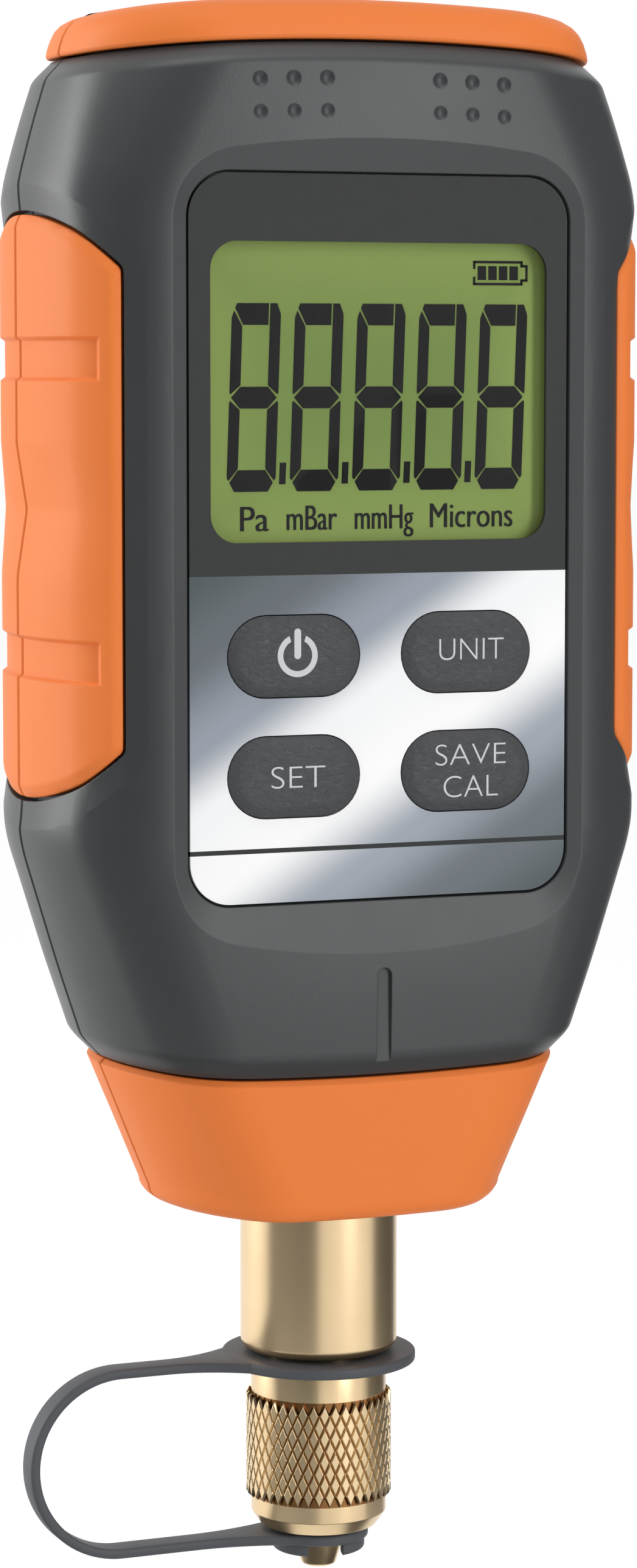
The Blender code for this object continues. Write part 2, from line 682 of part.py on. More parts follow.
def grip_half(name, side, half):
    """One orange grip half: side -1 is the left, half -1 the front."""
    bm = side_skin(side, 0.0)
    clip(bm, (0, half * SEAM / 2, 0), (0, -half, 0))
    for plane in side_outline(-GRIP_BEVEL):
        score(bm, *mirrored_plane(plane, side))
    for z in SLOT_Z:
        for edge in (-SLOT_HEIGHT / 2, SLOT_WALL - SLOT_HEIGHT / 2, SLOT_HEIGHT / 2 - SLOT_WALL, SLOT_HEIGHT / 2):
            score(bm, Vector((0, 0, z + edge)), Vector((0, 0, 1)))
    for reach in (SLOT_REACH, SLOT_REACH - SLOT_WALL):
        score(bm, Vector((0, half * reach, 0)), Vector((0, 1, 0)))
    skin_count = len(bm.verts)
    grip = solidified(name, bm, GRIP_THICK, finish=orange())
    for vert in list(grip.data.vertices)[:skin_count]:
        drop = pinch_at(vert.co)
        rim = inside_outline(vert.co, 0.0)
        drop += GRIP_BEVEL_DROP * max(0.0, 1 - rim / GRIP_BEVEL)
        for z in SLOT_Z:
            across = min(SLOT_HEIGHT / 2 - abs(vert.co.z - z), SLOT_REACH - abs(vert.co.y))
            drop += SLOT_DEPTH * min(max(across / SLOT_WALL, 0.0), 1.0)
        vert.co -= section_normal(vert.co) * drop
    for vert in grip.data.vertices:
        vert.co.y = half * max(half * vert.co.y, SEAM / 2)
    return grip


def full_loft(levels, steps=(2, 4, 2)):
    """A closed form over both halves, for cutters that run past the seam."""
    rings = []
    for rung in levels:
        rear = half_ring(rung, 1, 0.0, steps)
        rings.append(rear + [Vector((p.x, -p.y, p.z)) for p in rear[-2:0:-1]])
    bm = loft(rings, closed=True, caps=False)
    bm.verts.ensure_lookup_table()
    count = len(rings[0])
    for first in (0, len(bm.verts) - count):
        loop = bm.verts[first:first + count]
        strip_cap(bm, loop[:count // 2 + 1], [loop[0]] + loop[:count // 2 - 1:-1])
    bmesh.ops.recalc_face_normals(bm, faces=bm.faces)
    return bm


def halved(bm, side):
    """Keep the part of a convex form on one side of the seam and close it."""
    clip(bm, (0, side * SEAM / 2, 0), (0, -side, 0))
    bmesh.ops.holes_fill(bm, edges=[e for e in bm.edges if e.is_boundary])
    return bm


def healed(obj):
    """Close slivers that a cut left open."""
    bm = bmesh.new()
    bm.from_mesh(obj.data)
    bmesh.ops.holes_fill(bm, edges=[e for e in bm.edges if e.is_boundary])
    bmesh.ops.recalc_face_normals(bm, faces=bm.faces)
    bm.to_mesh(obj.data)
    bm.free()
    return obj


def mirrored_places(places):
    """Places on the right repeated on the left."""
    return [(side * x, z) for x, z in places for side in (-1, 1)]


def cover_blank(name, side):
    """Outer form of one cover with its nose, plinth and grip bands."""
    bm = half_loft(nose_levels() + shell_levels() + plinth_levels(), side)
    sink_bands(bm, side * SEAM / 2)
    return put(name, bm, charcoal())


def cavity(*kept):
    """Cutter for the space inside the covers, less the bosses that stay in it."""
    space = put("cavity", full_loft(cavity_levels(), (2, 2, 1)))
    for form in kept:
        cut(space, put("kept", form))
    return space


def neck_hole():
    """Cutter for the hole that closes round the barrel's neck."""
    return put("neck_hole", rod(BARREL_NECK_R + GAP, (0, 0, NOSE_BOTTOM - OVERCUT), (0, 0, NOSE_INSIDE + OVERCUT), 20))


def window_outline(grow):
    """The window's outline, larger or smaller."""
    return rounded_rectangle(WINDOW_HALF_WIDTH + grow, WINDOW_BOTTOM - grow, WINDOW_TOP + grow,
                             max(WINDOW_CORNER + grow, 1.0 * MM))


def panel_outline(grow):
    return rounded_rectangle(PANEL_HALF_WIDTH + grow, PANEL_BOTTOM - grow, PANEL_TOP + grow, PANEL_CORNER + grow)


def recess_cutter():
    """Dished recess that falls from the cover's face to the panel's edge."""
    inner = panel_outline(GAP)
    outer = rounded_rectangle(PANEL_HALF_WIDTH + GAP + 3.0 * RECESS_SIDE, PANEL_BOTTOM - GAP - 1.25 * RECESS_END,
                              PANEL_TOP + GAP + 1.05 * RECESS_END, PANEL_CORNER + 2.6 * RECESS_SIDE)
    return loft([[Vector((x, -RECESS_Y - RECESS_RISE, z)) for x, z in outer],
                 [Vector((x, -RECESS_Y, z)) for x, z in inner],
                 [Vector((x, -PANEL_FLOOR, z)) for x, z in inner]])


def key_places():
    """Name and centre of each key, seen from the front."""
    high, low = KEY_Z
    return (("key_power", -KEY_X, high), ("key_mode", KEY_X, high), ("key_hold", -KEY_X, low), ("key_zero", KEY_X, low))


def key_holes(y_front, y_back):
    """Cutters for the four key holes."""
    return merged(*(prism(stadium(x, z, KEY_LENGTH + 2 * GAP, KEY_HEIGHT + 2 * GAP), y_front, y_back)
                    for _, x, z in key_places()))


def dimples():
    """Twelve shallow cups in two rows that follow the top's arch."""
    depth, radius, lift = 0.35 * MM, 0.75 * MM, 0.5 * MM
    cups = []
    for z, fall in ((157.45 * MM, 0.36 * MM), (154.1 * MM, 0.16 * MM)):
        for x in (6.36 * MM, 10.06 * MM, 13.75 * MM):
            surface = WAIST_HALF_DEPTH - x * x / (2 * CROWN_RADIUS) - fall
            for side in (-1, 1):
                height = z + TOP_ARCH * x * x
                cups.append(rod(0.4 * radius, (side * x, depth - surface, height),
                                (side * x, -surface - lift, height), 8, radius + 0.6 * radius * lift / depth))
    return merged(*cups)


def groove():
    """Shallow upright slot with a round top that runs out in the lower chamfer."""
    half, top, depth = 0.8 * MM, 63.7 * MM, 0.5 * MM
    floor_y = WAIST_HALF_DEPTH + 0.2 * MM - depth
    arc = [(half * math.cos(math.radians(a)), top + half * math.sin(math.radians(a))) for a in range(0, 181, 30)]
    return prism(arc + [(-half, SHELL_BOTTOM - OVERCUT), (half, SHELL_BOTTOM - OVERCUT)],
                 -WAIST_HALF_DEPTH - OVERCUT, -floor_y)


def along_y(radius, x, z, y_from, y_to, segments=8):
    """A round form parallel to Y."""
    return rod(radius, (x, y_from, z), (x, y_to, z), segments)


def front_cover():
    """Front half of the housing."""
    case_posts = [along_y(CASE_POST_R, x, z, -WAIST_HALF_DEPTH + 1 * MM, 1 * MM) for x, z in mirrored_places(CASE_SCREWS)]
    board_places = mirrored_places([(BOARD_SCREW_X, z) for z in BOARD_SCREW_Z])
    board_posts = [along_y(BOARD_POST_R, x, z, -FRONT_INSIDE - 1.5 * MM, -BOARD_Y - GAP) for x, z in board_places]
    cover = cover_blank("front_cover", -1)
    cut(cover, cavity(merged(*case_posts, *board_posts)), grip_pocket(-1), grip_pocket(1), neck_hole())
    ledge_y = PANEL_FLOOR - WINDOW_THICK - GAP
    cut(cover, put("window_seat", prism(window_outline(WINDOW_REVEAL + WINDOW_LEDGE + GAP), -PANEL_Y, -ledge_y)))
    cut(cover, put("window_opening", prism(window_outline(WINDOW_REVEAL), -PANEL_Y, -FRONT_INSIDE + 2 * MM)))
    cut(cover, put("key_holes", key_holes(-PANEL_Y, -FRONT_INSIDE + 2 * MM)))
    cut(cover, put("recess", recess_cutter()))
    case_pilot_y = CASE_SCREW_LENGTH - (WAIST_HALF_DEPTH - CASE_HEAD_DEPTH + GAP) + 2 * GAP
    pilots = [along_y(CASE_SCREW_R + GAP, x, z, -case_pilot_y, 1 * MM) for x, z in mirrored_places(CASE_SCREWS)]
    pilots += [along_y(BOARD_SCREW_R + GAP, x, z, -BOARD_Y - BOARD_SCREW_LENGTH, -BOARD_Y + 1 * MM) for x, z in board_places]
    cut(cover, put("pilots", merged(*pilots)))
    cut(cover, put("dimples", dimples()), put("groove", groove()))
    return cover


def bay_box(grow, y_front, y_back):
    """Box of the battery bay, grown by a wall or not."""
    return box((-BAY_HALF_WIDTH - grow, y_front, BAY_BOTTOM - grow), (BAY_HALF_WIDTH + grow, y_back, BAY_TOP + grow))


def door_box(grow, y_front, y_back):
    """Box of the battery door, grown by its clearance or not."""
    return box((-DOOR_HALF_WIDTH - grow, y_front, BAY_BOTTOM - DOOR_LEDGE - DOOR_TAB - grow),
               (DOOR_HALF_WIDTH + grow, y_back, BAY_TOP + DOOR_LEDGE + grow))


def door_screw_z():
    return BAY_BOTTOM - DOOR_LEDGE / 2 - DOOR_TAB / 2 - BAY_WALL / 2


def rear_cover():
    """Rear half of the housing, with the battery bay and the case screws' bosses."""
    inside = WAIST_HALF_DEPTH - 1 * MM
    posts = [along_y(CASE_POST_R, x, z, -1 * MM, inside) for x, z in mirrored_places(CASE_SCREWS)]
    boss = along_y(DOOR_BOSS_R, 0, door_screw_z(), DOOR_LEDGE_Y - DOOR_SCREW_LENGTH - 1.5 * MM, inside)
    cover = cover_blank("rear_cover", 1)
    cut(cover, cavity(merged(*posts), boss, bay_box(BAY_WALL, BAY_FLOOR_Y - BAY_FLOOR, inside)))
    cut(cover, grip_pocket(-1), grip_pocket(1), neck_hole())
    cut(cover, put("bay", bay_box(0.0, BAY_FLOOR_Y, WAIST_HALF_DEPTH + OVERCUT)))
    cut(cover, put("door_seat", door_box(GAP, DOOR_LEDGE_Y, WAIST_HALF_DEPTH + OVERCUT)))
    holes = [along_y(CASE_SCREW_R + GAP, x, z, -1 * MM, inside) for x, z in mirrored_places(CASE_SCREWS)]
    seat_y = WAIST_HALF_DEPTH - CASE_HEAD_DEPTH
    heads = [along_y(CASE_HEAD_R + GAP, x, z, seat_y, seat_y + 6 * MM, 16) for x, z in mirrored_places(CASE_SCREWS)]
    pilot = along_y(DOOR_SCREW_R + GAP, 0, door_screw_z(), DOOR_LEDGE_Y - DOOR_SCREW_LENGTH, DOOR_LEDGE_Y + 1 * MM)
    return cut(cover, put("holes", merged(*holes, pilot)), put("head_holes", merged(*heads)))


def battery_door():
    """Screwed door whose outside carries on the rear cover's curve."""
    skin = [rung for rung in shell_levels() if rung["arch"] == 0.0]
    door = put("battery_door", half_loft(skin, 1, start_y=0.5 * WAIST_HALF_DEPTH, steps=(1, 3, 3)), charcoal())
    combine(door, put("door_form", door_box(0.0, DOOR_LEDGE_Y + GAP, WAIST_HALF_DEPTH + OVERCUT)), "INTERSECT")
    head_y = DOOR_LEDGE_Y + GAP + DOOR_UNDER_HEAD
    hole = along_y(DOOR_SCREW_R + GAP, 0, door_screw_z(), DOOR_LEDGE_Y - 1 * MM, WAIST_HALF_DEPTH + OVERCUT)
    sink = along_y(DOOR_HEAD_R + GAP, 0, door_screw_z(), head_y - GAP, WAIST_HALF_DEPTH + OVERCUT, 16)
    return healed(cut(door, put("screw_hole", hole), put("screw_sink", sink)))


def overmoulds():
    """Bumper, boot and grips, each split at the parting line."""
    for label, side in (("front", -1), ("rear", 1)):
        bumper = put("top_bumper_" + label, half_loft(bumper_levels(), side), orange())
        root, top = plinth_levels(GAP)
        cut(bumper, put("plinth", full_loft([offset(root, 0.0, z=SHELL_TOP - OVERCUT), top])))

        boot = put("boot_" + label, half_loft(boot_levels(), side), orange())
        collar = rod(BARREL_R + 1.1 * MM, (0, 0, BOOT_BOTTOM - BOOT_COLLAR), (0, 0, BOOT_BOTTOM + 1 * MM), 20)
        join(boot, put("collar", halved(collar, side)))
        inner = nose_levels(GAP)
        nose = full_loft(inner + [offset(inner[-1], 0.0, z=SHELL_BOTTOM + OVERCUT)])
        bore = rod(BARREL_R + GAP, (0, 0, BOOT_BOTTOM - OVERCUT), (0, 0, NOSE_BOTTOM + OVERCUT), 20)
        cut(boot, put("nose", nose), put("bore", bore))

        grip_half("grip_left_" + label, -1, side)
        grip_half("grip_right_" + label, 1, side)


def face_panel():
    """Panel with its display window and four key holes."""
    panel = put("face_panel", prism(panel_outline(0.0), -PANEL_Y, PANEL_THICK - PANEL_Y), charcoal())
    cut(panel, put("window", prism(window_outline(0.0), -PANEL_Y - OVERCUT, OVERCUT - PANEL_Y)))
    return cut(panel, put("key_holes", key_holes(-PANEL_Y - OVERCUT, OVERCUT - PANEL_Y)))


def display():
    """Window, LCD glass, backlight and the two contact strips."""
    clear = material("clear_plastic", (0.75, 0.8, 0.7), 0.08)
    glass = material("lcd_glass", (0.20, 0.28, 0.09), 0.2)
    light = material("backlight", (0.8, 0.85, 0.7), 0.4)
    pane = window_outline(WINDOW_REVEAL + WINDOW_LEDGE)
    put("display_window", prism(pane, -PANEL_FLOOR, WINDOW_THICK - PANEL_FLOOR), clear)
    low, high = WINDOW_BOTTOM - LCD_MARGIN, WINDOW_TOP + LCD_MARGIN
    put("lcd_glass", box((-LCD_HALF_WIDTH, -LCD_Y, low), (LCD_HALF_WIDTH, LCD_THICK - LCD_Y, high)), glass)
    back = (BACKLIGHT_THICK - BACKLIGHT_Y)
    strip = GAP + ZEBRA_HEIGHT
    put("backlight", box((-LCD_HALF_WIDTH, -BACKLIGHT_Y, low + strip + GAP), (LCD_HALF_WIDTH, back, high - strip - GAP)), light)
    for name, z in (("zebra_strip_lower", low + GAP), ("zebra_strip_upper", high - strip)):
        half = LCD_HALF_WIDTH - 1 * MM
        put(name, box((-half, -BACKLIGHT_Y, z), (half, back, z + ZEBRA_HEIGHT)), black_rubber())


def key(name, cx, cz):
    """Domed key with the flange that keeps it in the cover."""
    dome = PANEL_Y + KEY_PROUD
    steps = ((KEY_BACK_Y, KEY_FLANGE), (KEY_FLANGE_Y, KEY_FLANGE), (KEY_FLANGE_Y, 0.0), (dome - 0.7 * MM, 0.0),
             (dome - 0.3 * MM, -0.3 * MM), (dome, -1.8 * MM))
    rings = []
    for y, grow in steps:
        outline = stadium(cx, cz, KEY_LENGTH + 2 * grow, KEY_HEIGHT + 2 * grow)
        rings.append([Vector((x, -y, z)) for x, z in outline])
    return put(name, loft(rings), black_rubber())


def keypad():
    """Four keys, each over its own tactile switch."""
    for number, (name, x, z) in enumerate(key_places(), 1):
        key(name, x, z)
        half = SWITCH_SIZE / 2
        top = SWITCH_TIP_Y - SWITCH_PLUNGER
        switch = put("key_switch_%d" % number, box((x - half, -top, z - half), (x + half, -BOARD_Y - GAP, z + half)),
                     black_rubber())
        join(switch, put("plunger", along_y(SWITCH_PLUNGER_R, x, z, -SWITCH_TIP_Y, -top + 0.5 * MM, 10)))


def screw(name, place, along, length, radius, head_radius, head):
    """Pan head screw; place is the underside of its head and along the way its shank points."""
    profile = [(0.0, head), (head_radius * 0.75, head), (head_radius, head * 0.55), (head_radius, 0.0),
               (radius, 0.0), (radius, radius - length), (0.0, -length)]
    bm = turned(profile, 8)
    turn = Vector((0, 0, -1)).rotation_difference(Vector(along)).to_matrix().to_4x4()
    bmesh.ops.transform(bm, matrix=Matrix.Translation(place) @ turn, verts=bm.verts)
    return put(name, bm, steel(), 60)


def circuit_board():
    """Main board, its four screws and the four case screws."""
    places = mirrored_places([(BOARD_SCREW_X, z) for z in BOARD_SCREW_Z])
    board = put("main_board", box((-BOARD_HALF_WIDTH, -BOARD_Y, BOARD_BOTTOM), (BOARD_HALF_WIDTH, -BOARD_BACK_Y, BOARD_TOP)),
                board_green())
    holes = [along_y(BOARD_SCREW_R + GAP, x, z, -BOARD_Y - OVERCUT, OVERCUT - BOARD_BACK_Y, 10) for x, z in places]
    cut(board, put("board_holes", merged(*holes)))
    for number, (x, z) in enumerate(places, 1):
        screw("board_screw_%d" % number, (x, GAP - BOARD_BACK_Y, z), (0, -1, 0), BOARD_SCREW_LENGTH, BOARD_SCREW_R,
              2.0 * MM, 1.2 * MM)
    seat_y = WAIST_HALF_DEPTH - CASE_HEAD_DEPTH + GAP
    for number, (x, z) in enumerate(mirrored_places(CASE_SCREWS), 1):
        screw("case_screw_%d" % number, (x, seat_y, z), (0, -1, 0), CASE_SCREW_LENGTH, CASE_SCREW_R, CASE_HEAD_R, CASE_HEAD)


def spring_contact(name, x, z, up):
    """Conical contact spring; its wide end sits on the plate."""
    points_per_turn = 7
    count = SPRING_TURNS * points_per_turn
    curve = bpy.data.curves.new(name, "CURVE")
    curve.dimensions = "3D"
    curve.bevel_depth = SPRING_WIRE_R
    curve.bevel_resolution = 1
    curve.use_fill_caps = True
    spline = curve.splines.new("POLY")
    spline.points.add(count)
    rise = SPRING_HEIGHT - 2 * SPRING_WIRE_R
    for i, point in enumerate(spline.points):
        share = i / count
        angle = 2 * math.pi * SPRING_TURNS * share
        radius = 4.6 * MM - 2.0 * MM * share
        height = SPRING_WIRE_R + rise * share
        point.co = (x + radius * math.cos(angle), CELL_Y + radius * math.sin(angle), z + up * height, 1)
    wire = bpy.data.objects.new(name, curve)
    bpy.context.scene.collection.objects.link(wire)
    graph = bpy.context.evaluated_depsgraph_get()
    mesh = bpy.data.meshes.new_from_object(wire.evaluated_get(graph))
    bpy.data.objects.remove(wire)
    bm = bmesh.new()
    bm.from_mesh(mesh)
    bmesh.ops.remove_doubles(bm, verts=bm.verts, dist=1e-6)
    bmesh.ops.recalc_face_normals(bm, faces=bm.faces)
    return put(name, bm, steel(), 60)


def batteries():
    """Two cells in series, head to tail, with their contacts."""
    cell_finish = material("cell_jacket", (0.10, 0.11, 0.13), 0.35, 0.3)
    plate_low = BAY_BOTTOM + GAP
    rest_low = plate_low + PLATE_THICK + GAP
    plate_high = BAY_TOP - GAP - PLATE_THICK
    half = CELL_R - 1 * MM
    low_y, high_y = CELL_Y - half, CELL_Y + half - 1 * MM
    for name, side, up in (("battery_left", -1, 1), ("battery_right", 1, -1)):
        start = rest_low + SPRING_HEIGHT + GAP if up > 0 else plate_high - SPRING_HEIGHT - 2 * GAP
        profile = [(0.0, 0.0), (CELL_R, 0.0), (CELL_R, CELL_BODY), (CELL_BUTTON_R, CELL_BODY),
                   (CELL_BUTTON_R, CELL_LENGTH), (0.0, CELL_LENGTH)]
        cell = turned([(r, start + up * z) for r, z in profile], 16)
        bmesh.ops.translate(cell, vec=(side * CELL_X, CELL_Y, 0), verts=cell.verts)
        put(name, cell, cell_finish)
        put("contact_" + name[8:], box((side * CELL_X - half, low_y, plate_high), (side * CELL_X + half, high_y, plate_high + PLATE_THICK)),
            steel())
    put("contact_bridge", box((-CELL_X - half, low_y, plate_low), (CELL_X + half, high_y, plate_low + PLATE_THICK)), steel())
    spring_contact("spring_left", -CELL_X, rest_low, 1)
    spring_contact("spring_right", CELL_X, plate_high - GAP, -1)


def barrel():
    """Brass barrel: sensor pocket on top, a neck for the covers and a seat for the strap."""
    pocket = BARREL_TOP - SENSOR_POCKET
    socket_r = STEM_THREAD_R + GAP
    socket_top = STRAP_SEAT_Z + STEM_THREAD + GAP
    rim = 1.0 * MM
    profile = [
        (socket_r, STRAP_SEAT_Z), (socket_r, socket_top), (BORE_R, socket_top), (BORE_R, pocket),
        (SENSOR_POCKET_R, pocket), (SENSOR_POCKET_R, BARREL_TOP), (BARREL_R - 0.4 * MM, BARREL_TOP),
        (BARREL_R, BARREL_TOP - 0.4 * MM), (BARREL_R, NOSE_INSIDE + GAP), (BARREL_NECK_R, NOSE_INSIDE + GAP),
        (BARREL_NECK_R, NOSE_BOTTOM - GAP), (BARREL_R, NOSE_BOTTOM - GAP), (BARREL_R, BARREL_BOTTOM + rim),
        (BARREL_R - 0.3 * rim, BARREL_BOTTOM + 0.3 * rim), (BARREL_R - rim, BARREL_BOTTOM),
        (STRAP_SEAT_R, BARREL_BOTTOM), (STRAP_SEAT_R, STRAP_SEAT_Z),
    ]
    return put("barrel", turned(profile, 24), brass())


def swivel_stem():
    """Stem screwed into the barrel; its flange holds the nut up."""
    shoulder = STRAP_SEAT_Z - GAP
    flange = STEM_SEAT_Z + STEM_FLANGE
    profile = [
        (BORE_R, STEM_SEAT_Z), (BORE_R, STRAP_SEAT_Z + STEM_THREAD), (STEM_THREAD_R, STRAP_SEAT_Z + STEM_THREAD),
        (STEM_THREAD_R, shoulder), (STEM_R, shoulder), (STEM_R, flange), (STEM_FLANGE_R, flange),
        (STEM_FLANGE_R, STEM_SEAT_Z),
    ]
    return put("swivel_stem", turned(profile, 16), brass())


def knurled_sleeve(low, high):
    """Band of diamond pyramids: peaks and valleys alternate over a grid, split along the valleys."""
    columns, rows = 2 * KNURL_COUNT, 2 * KNURL_ROWS
    bm = bmesh.new()
    grid = []
    for j in range(rows + 1):
        ring = []
        for i in range(columns):
            radius = NUT_KNURL_R - (KNURL_DEPTH if (i + j) % 2 or j in (0, rows) else 0.0)
            angle = 2 * math.pi * i / columns
            ring.append(bm.verts.new((radius * math.cos(angle), radius * math.sin(angle), low + (high - low) * j / rows)))
        grid.append(ring)
    for j in range(rows):
        for i in range(columns):
            k = (i + 1) % columns
            a, b, c, d = grid[j][i], grid[j][k], grid[j + 1][k], grid[j + 1][i]
            for face in (((a, b, d), (b, c, d)) if (i + j) % 2 == 0 else ((a, b, c), (a, c, d))):
                bm.faces.new(face)
    bm.faces.new(list(reversed(grid[0])))
    bm.faces.new(grid[-1])
    bmesh.ops.recalc_face_normals(bm, faces=bm.faces)
    return bm


def swivel_nut():
    """Knurled swivel nut with plain collars above and below."""
    shoulder = STEM_SEAT_Z + STEM_FLANGE + GAP
    outer = [
        (0.0, NUT_HEIGHT), (NUT_COLLAR_R - 0.3 * MM, NUT_HEIGHT), (NUT_COLLAR_R, NUT_HEIGHT - 0.3 * MM),
        (NUT_COLLAR_R, 1.5 * MM), (NUT_RIM_R, 0.0), (0.0, 0.0),
    ]
    bore = [
        (0.0, NUT_HEIGHT + OVERCUT), (STEM_R + RUNNING, NUT_HEIGHT + OVERCUT), (STEM_R + RUNNING, shoulder),
        (NUT_BORE_R, shoulder), (NUT_BORE_R, 0.4 * MM), (NUT_BORE_R + 2.4 * MM, -OVERCUT), (0.0, -OVERCUT),
    ]
    nut = put("swivel_nut", turned(outer, 28), brass(), 25)
    join(nut, put("sleeve", knurled_sleeve(NUT_LOWER_COLLAR, NUT_HEIGHT - NUT_UPPER_COLLAR)))
    return cut(nut, put("bore", turned(bore, 20)))


def nut_fittings():
    """Gasket in the nut and the pin that opens the service valve."""
    top = STEM_SEAT_Z - GAP
    ring = [(1.9 * MM, top - GASKET_THICK), (STEM_FLANGE_R, top - GASKET_THICK), (STEM_FLANGE_R, top), (1.9 * MM, top)]
    put("seat_gasket", turned(ring, 16), black_rubber())
    hub = BORE_R - GAP
    foot, low, high, head = (STEM_SEAT_Z + rise for rise in (-2.0 * MM, 0.8 * MM, 2.8 * MM, 4.3 * MM))
    pin = [(0.0, foot), (DEPRESSOR_R, foot), (DEPRESSOR_R, low), (hub, low), (hub, high),
           (DEPRESSOR_R, high), (DEPRESSOR_R, head), (0.0, head)]
    put("core_depressor", turned(pin, 12), brass())


def strap():
    """One moulded piece: ring on the barrel's seat, band, and eye plate with two lugs."""
    ring_z = STRAP_TOP - STRAP_THICK / 2
    eye_z = EYE_TOP - STRAP_THICK / 2
    bend = (ring_z - eye_z) / 2
    half = STRAP_WIDTH / 2

    def flare(x, root, reach, grow):
        return half + grow * max(0.0, 1 - (root - x) / reach) ** 2

    path = [(x, ring_z, flare(x, -9 * MM, 9 * MM, 3.4 * MM)) for x in (-9 * MM, -11 * MM, -13.5 * MM, -16 * MM, -18 * MM)]
    for i in range(10):
        angle = math.radians(90 + 180 * i / 9)
        path.append((STRAP_BEND_X + bend * math.cos(angle), (ring_z + eye_z) / 2 + bend * math.sin(angle), half))
    path += [(x, eye_z, flare(x, -3.5 * MM, 11.5 * MM, 2.5 * MM)) for x in (-15 * MM, -11 * MM, -8 * MM, -5.5 * MM, -3.5 * MM)]
    bm = bmesh.new()
    edges = [(bm.verts.new((x, -w, z)), bm.verts.new((x, w, z))) for x, z, w in path]
    for (a, b), (c, d) in zip(edges, edges[1:]):
        bm.faces.new((a, b, d, c))
    band = solidified("strap", bm, STRAP_THICK - 0.1 * MM, (STRAP_THICK - 0.1 * MM) / 2, black_rubber())
    ring = rod(STRAP_RING_R, (0, 0, STRAP_TOP - STRAP_THICK), (0, 0, STRAP_TOP), 24)
    eye = rod(EYE_R, (0, 0, EYE_BOTTOM), (0, 0, EYE_TOP), 20)
    join(band, put("ring", ring), put("eye", eye))
    lugs = put("lugs", rod(LUG_R, (0, 0, EYE_BOTTOM - LUG_HEIGHT), (0, 0, EYE_BOTTOM + 0.5 * MM), 20))
    slot = box((-LUG_SLOT / 2, -8 * MM, -8 * MM), (LUG_SLOT / 2, 8 * MM, EYE_BOTTOM))
    inner = rod(LUG_R - 1.6 * MM, (0, 0, -8 * MM), (0, 0, EYE_BOTTOM), 16)
    cut(lugs, put("slot", slot), put("inner", inner))
    join(band, lugs)
    ring_hole = rod(STRAP_SEAT_R + GAP, (0, 0, ring_z - OVERCUT), (0, 0, ring_z + OVERCUT), 20)
    eye_hole = rod(EYE_HOLE_R, (0, 0, eye_z - OVERCUT), (0, 0, eye_z + OVERCUT), 16)
    return cut(band, put("ring_hole", ring_hole), put("eye_hole", eye_hole))


def plug():
    """Brass plug: a tapered tip below the eye and a body with an O-ring inside the nut."""
    flange = EYE_TOP + GAP
    groove_low, groove_high = flange + 2.6 * MM, flange + 4.3 * MM
    groove_r = 3.6 * MM
    profile = [
        (0.0, PLUG_TIP_Z), (PLUG_TIP_R, PLUG_TIP_Z), (PLUG_SHOULDER_R, EYE_BOTTOM - 0.4 * MM),
        (PLUG_SHOULDER_R, EYE_BOTTOM - GAP), (EYE_HOLE_R - GAP, EYE_BOTTOM - GAP), (EYE_HOLE_R - GAP, flange),
        (PLUG_FLANGE_R, flange), (PLUG_FLANGE_R, flange + 1.3 * MM), (PLUG_BODY_R, flange + 1.3 * MM),
        (PLUG_BODY_R, groove_low), (groove_r, groove_low), (groove_r, groove_high), (PLUG_BODY_R, groove_high),
        (PLUG_BODY_R, PLUG_TOP - 0.4 * MM), (PLUG_BODY_R - 0.4 * MM, PLUG_TOP), (0.0, PLUG_TOP),
    ]
    put("plug", turned(profile, 16), brass())
    ring_r = (groove_r + NUT_BORE_R) / 2
    put("plug_seal", torus(ring_r, PLUG_RING_WIRE, (groove_low + groove_high) / 2, 16), black_rubber())


def torus(major, minor, z, segments, sides=5):
    """An O-ring round the Z axis."""
    turns = (2 * math.pi * k / sides for k in range(sides))
    return turned([(major + minor * math.cos(a), z + minor * math.sin(a)) for a in turns], segments)


def sensor():
    """Sensor can in the barrel's pocket, its O-ring, its board and the ribbon to the main board."""
    floor = BARREL_TOP - SENSOR_POCKET
    wire = 0.8 * MM
    seat = floor + 2 * GAP + 2 * wire
    profile = [(0.0, seat), (SENSOR_FLANGE_R, seat), (SENSOR_FLANGE_R, seat + 1.6 * MM), (SENSOR_R, seat + 1.6 * MM),
               (SENSOR_R, SENSOR_TOP - 0.5 * MM), (SENSOR_R - 0.5 * MM, SENSOR_TOP), (0.0, SENSOR_TOP)]
    put("sensor", turned(profile, 16), steel())
    put("sensor_seal", torus(SENSOR_FLANGE_R - wire, wire, floor + GAP + wire, 16), black_rubber())
    length, depth, thick = SENSOR_BOARD
    low = SENSOR_TOP + GAP
    put("sensor_board", box((-length / 2, -depth / 2, low), (length / 2, depth / 2, low + thick)), board_green())
    lift = low + thick + GAP + RIBBON_THICK / 2
    back = GAP + RIBBON_THICK / 2 - BOARD_BACK_Y
    bend = 2.0 * MM
    path = [(depth / 2 - 2 * MM, lift)]
    path += [(back + bend - bend * math.sin(a), lift + bend - bend * math.cos(a))
             for a in (math.radians(15 * k) for k in range(7))]
    path.append((back, RIBBON_TOP))
    bm = bmesh.new()
    half = RIBBON_WIDTH / 2
    edges = [(bm.verts.new((-half, y, z)), bm.verts.new((half, y, z))) for y, z in path]
    for (a, b), (c, d) in zip(edges, edges[1:]):
        bm.faces.new((a, b, d, c))
    ribbon = material("ribbon_cable", (0.45, 0.46, 0.48), 0.5)
    solidified("sensor_ribbon", bm, RIBBON_THICK, RIBBON_THICK / 2, ribbon)


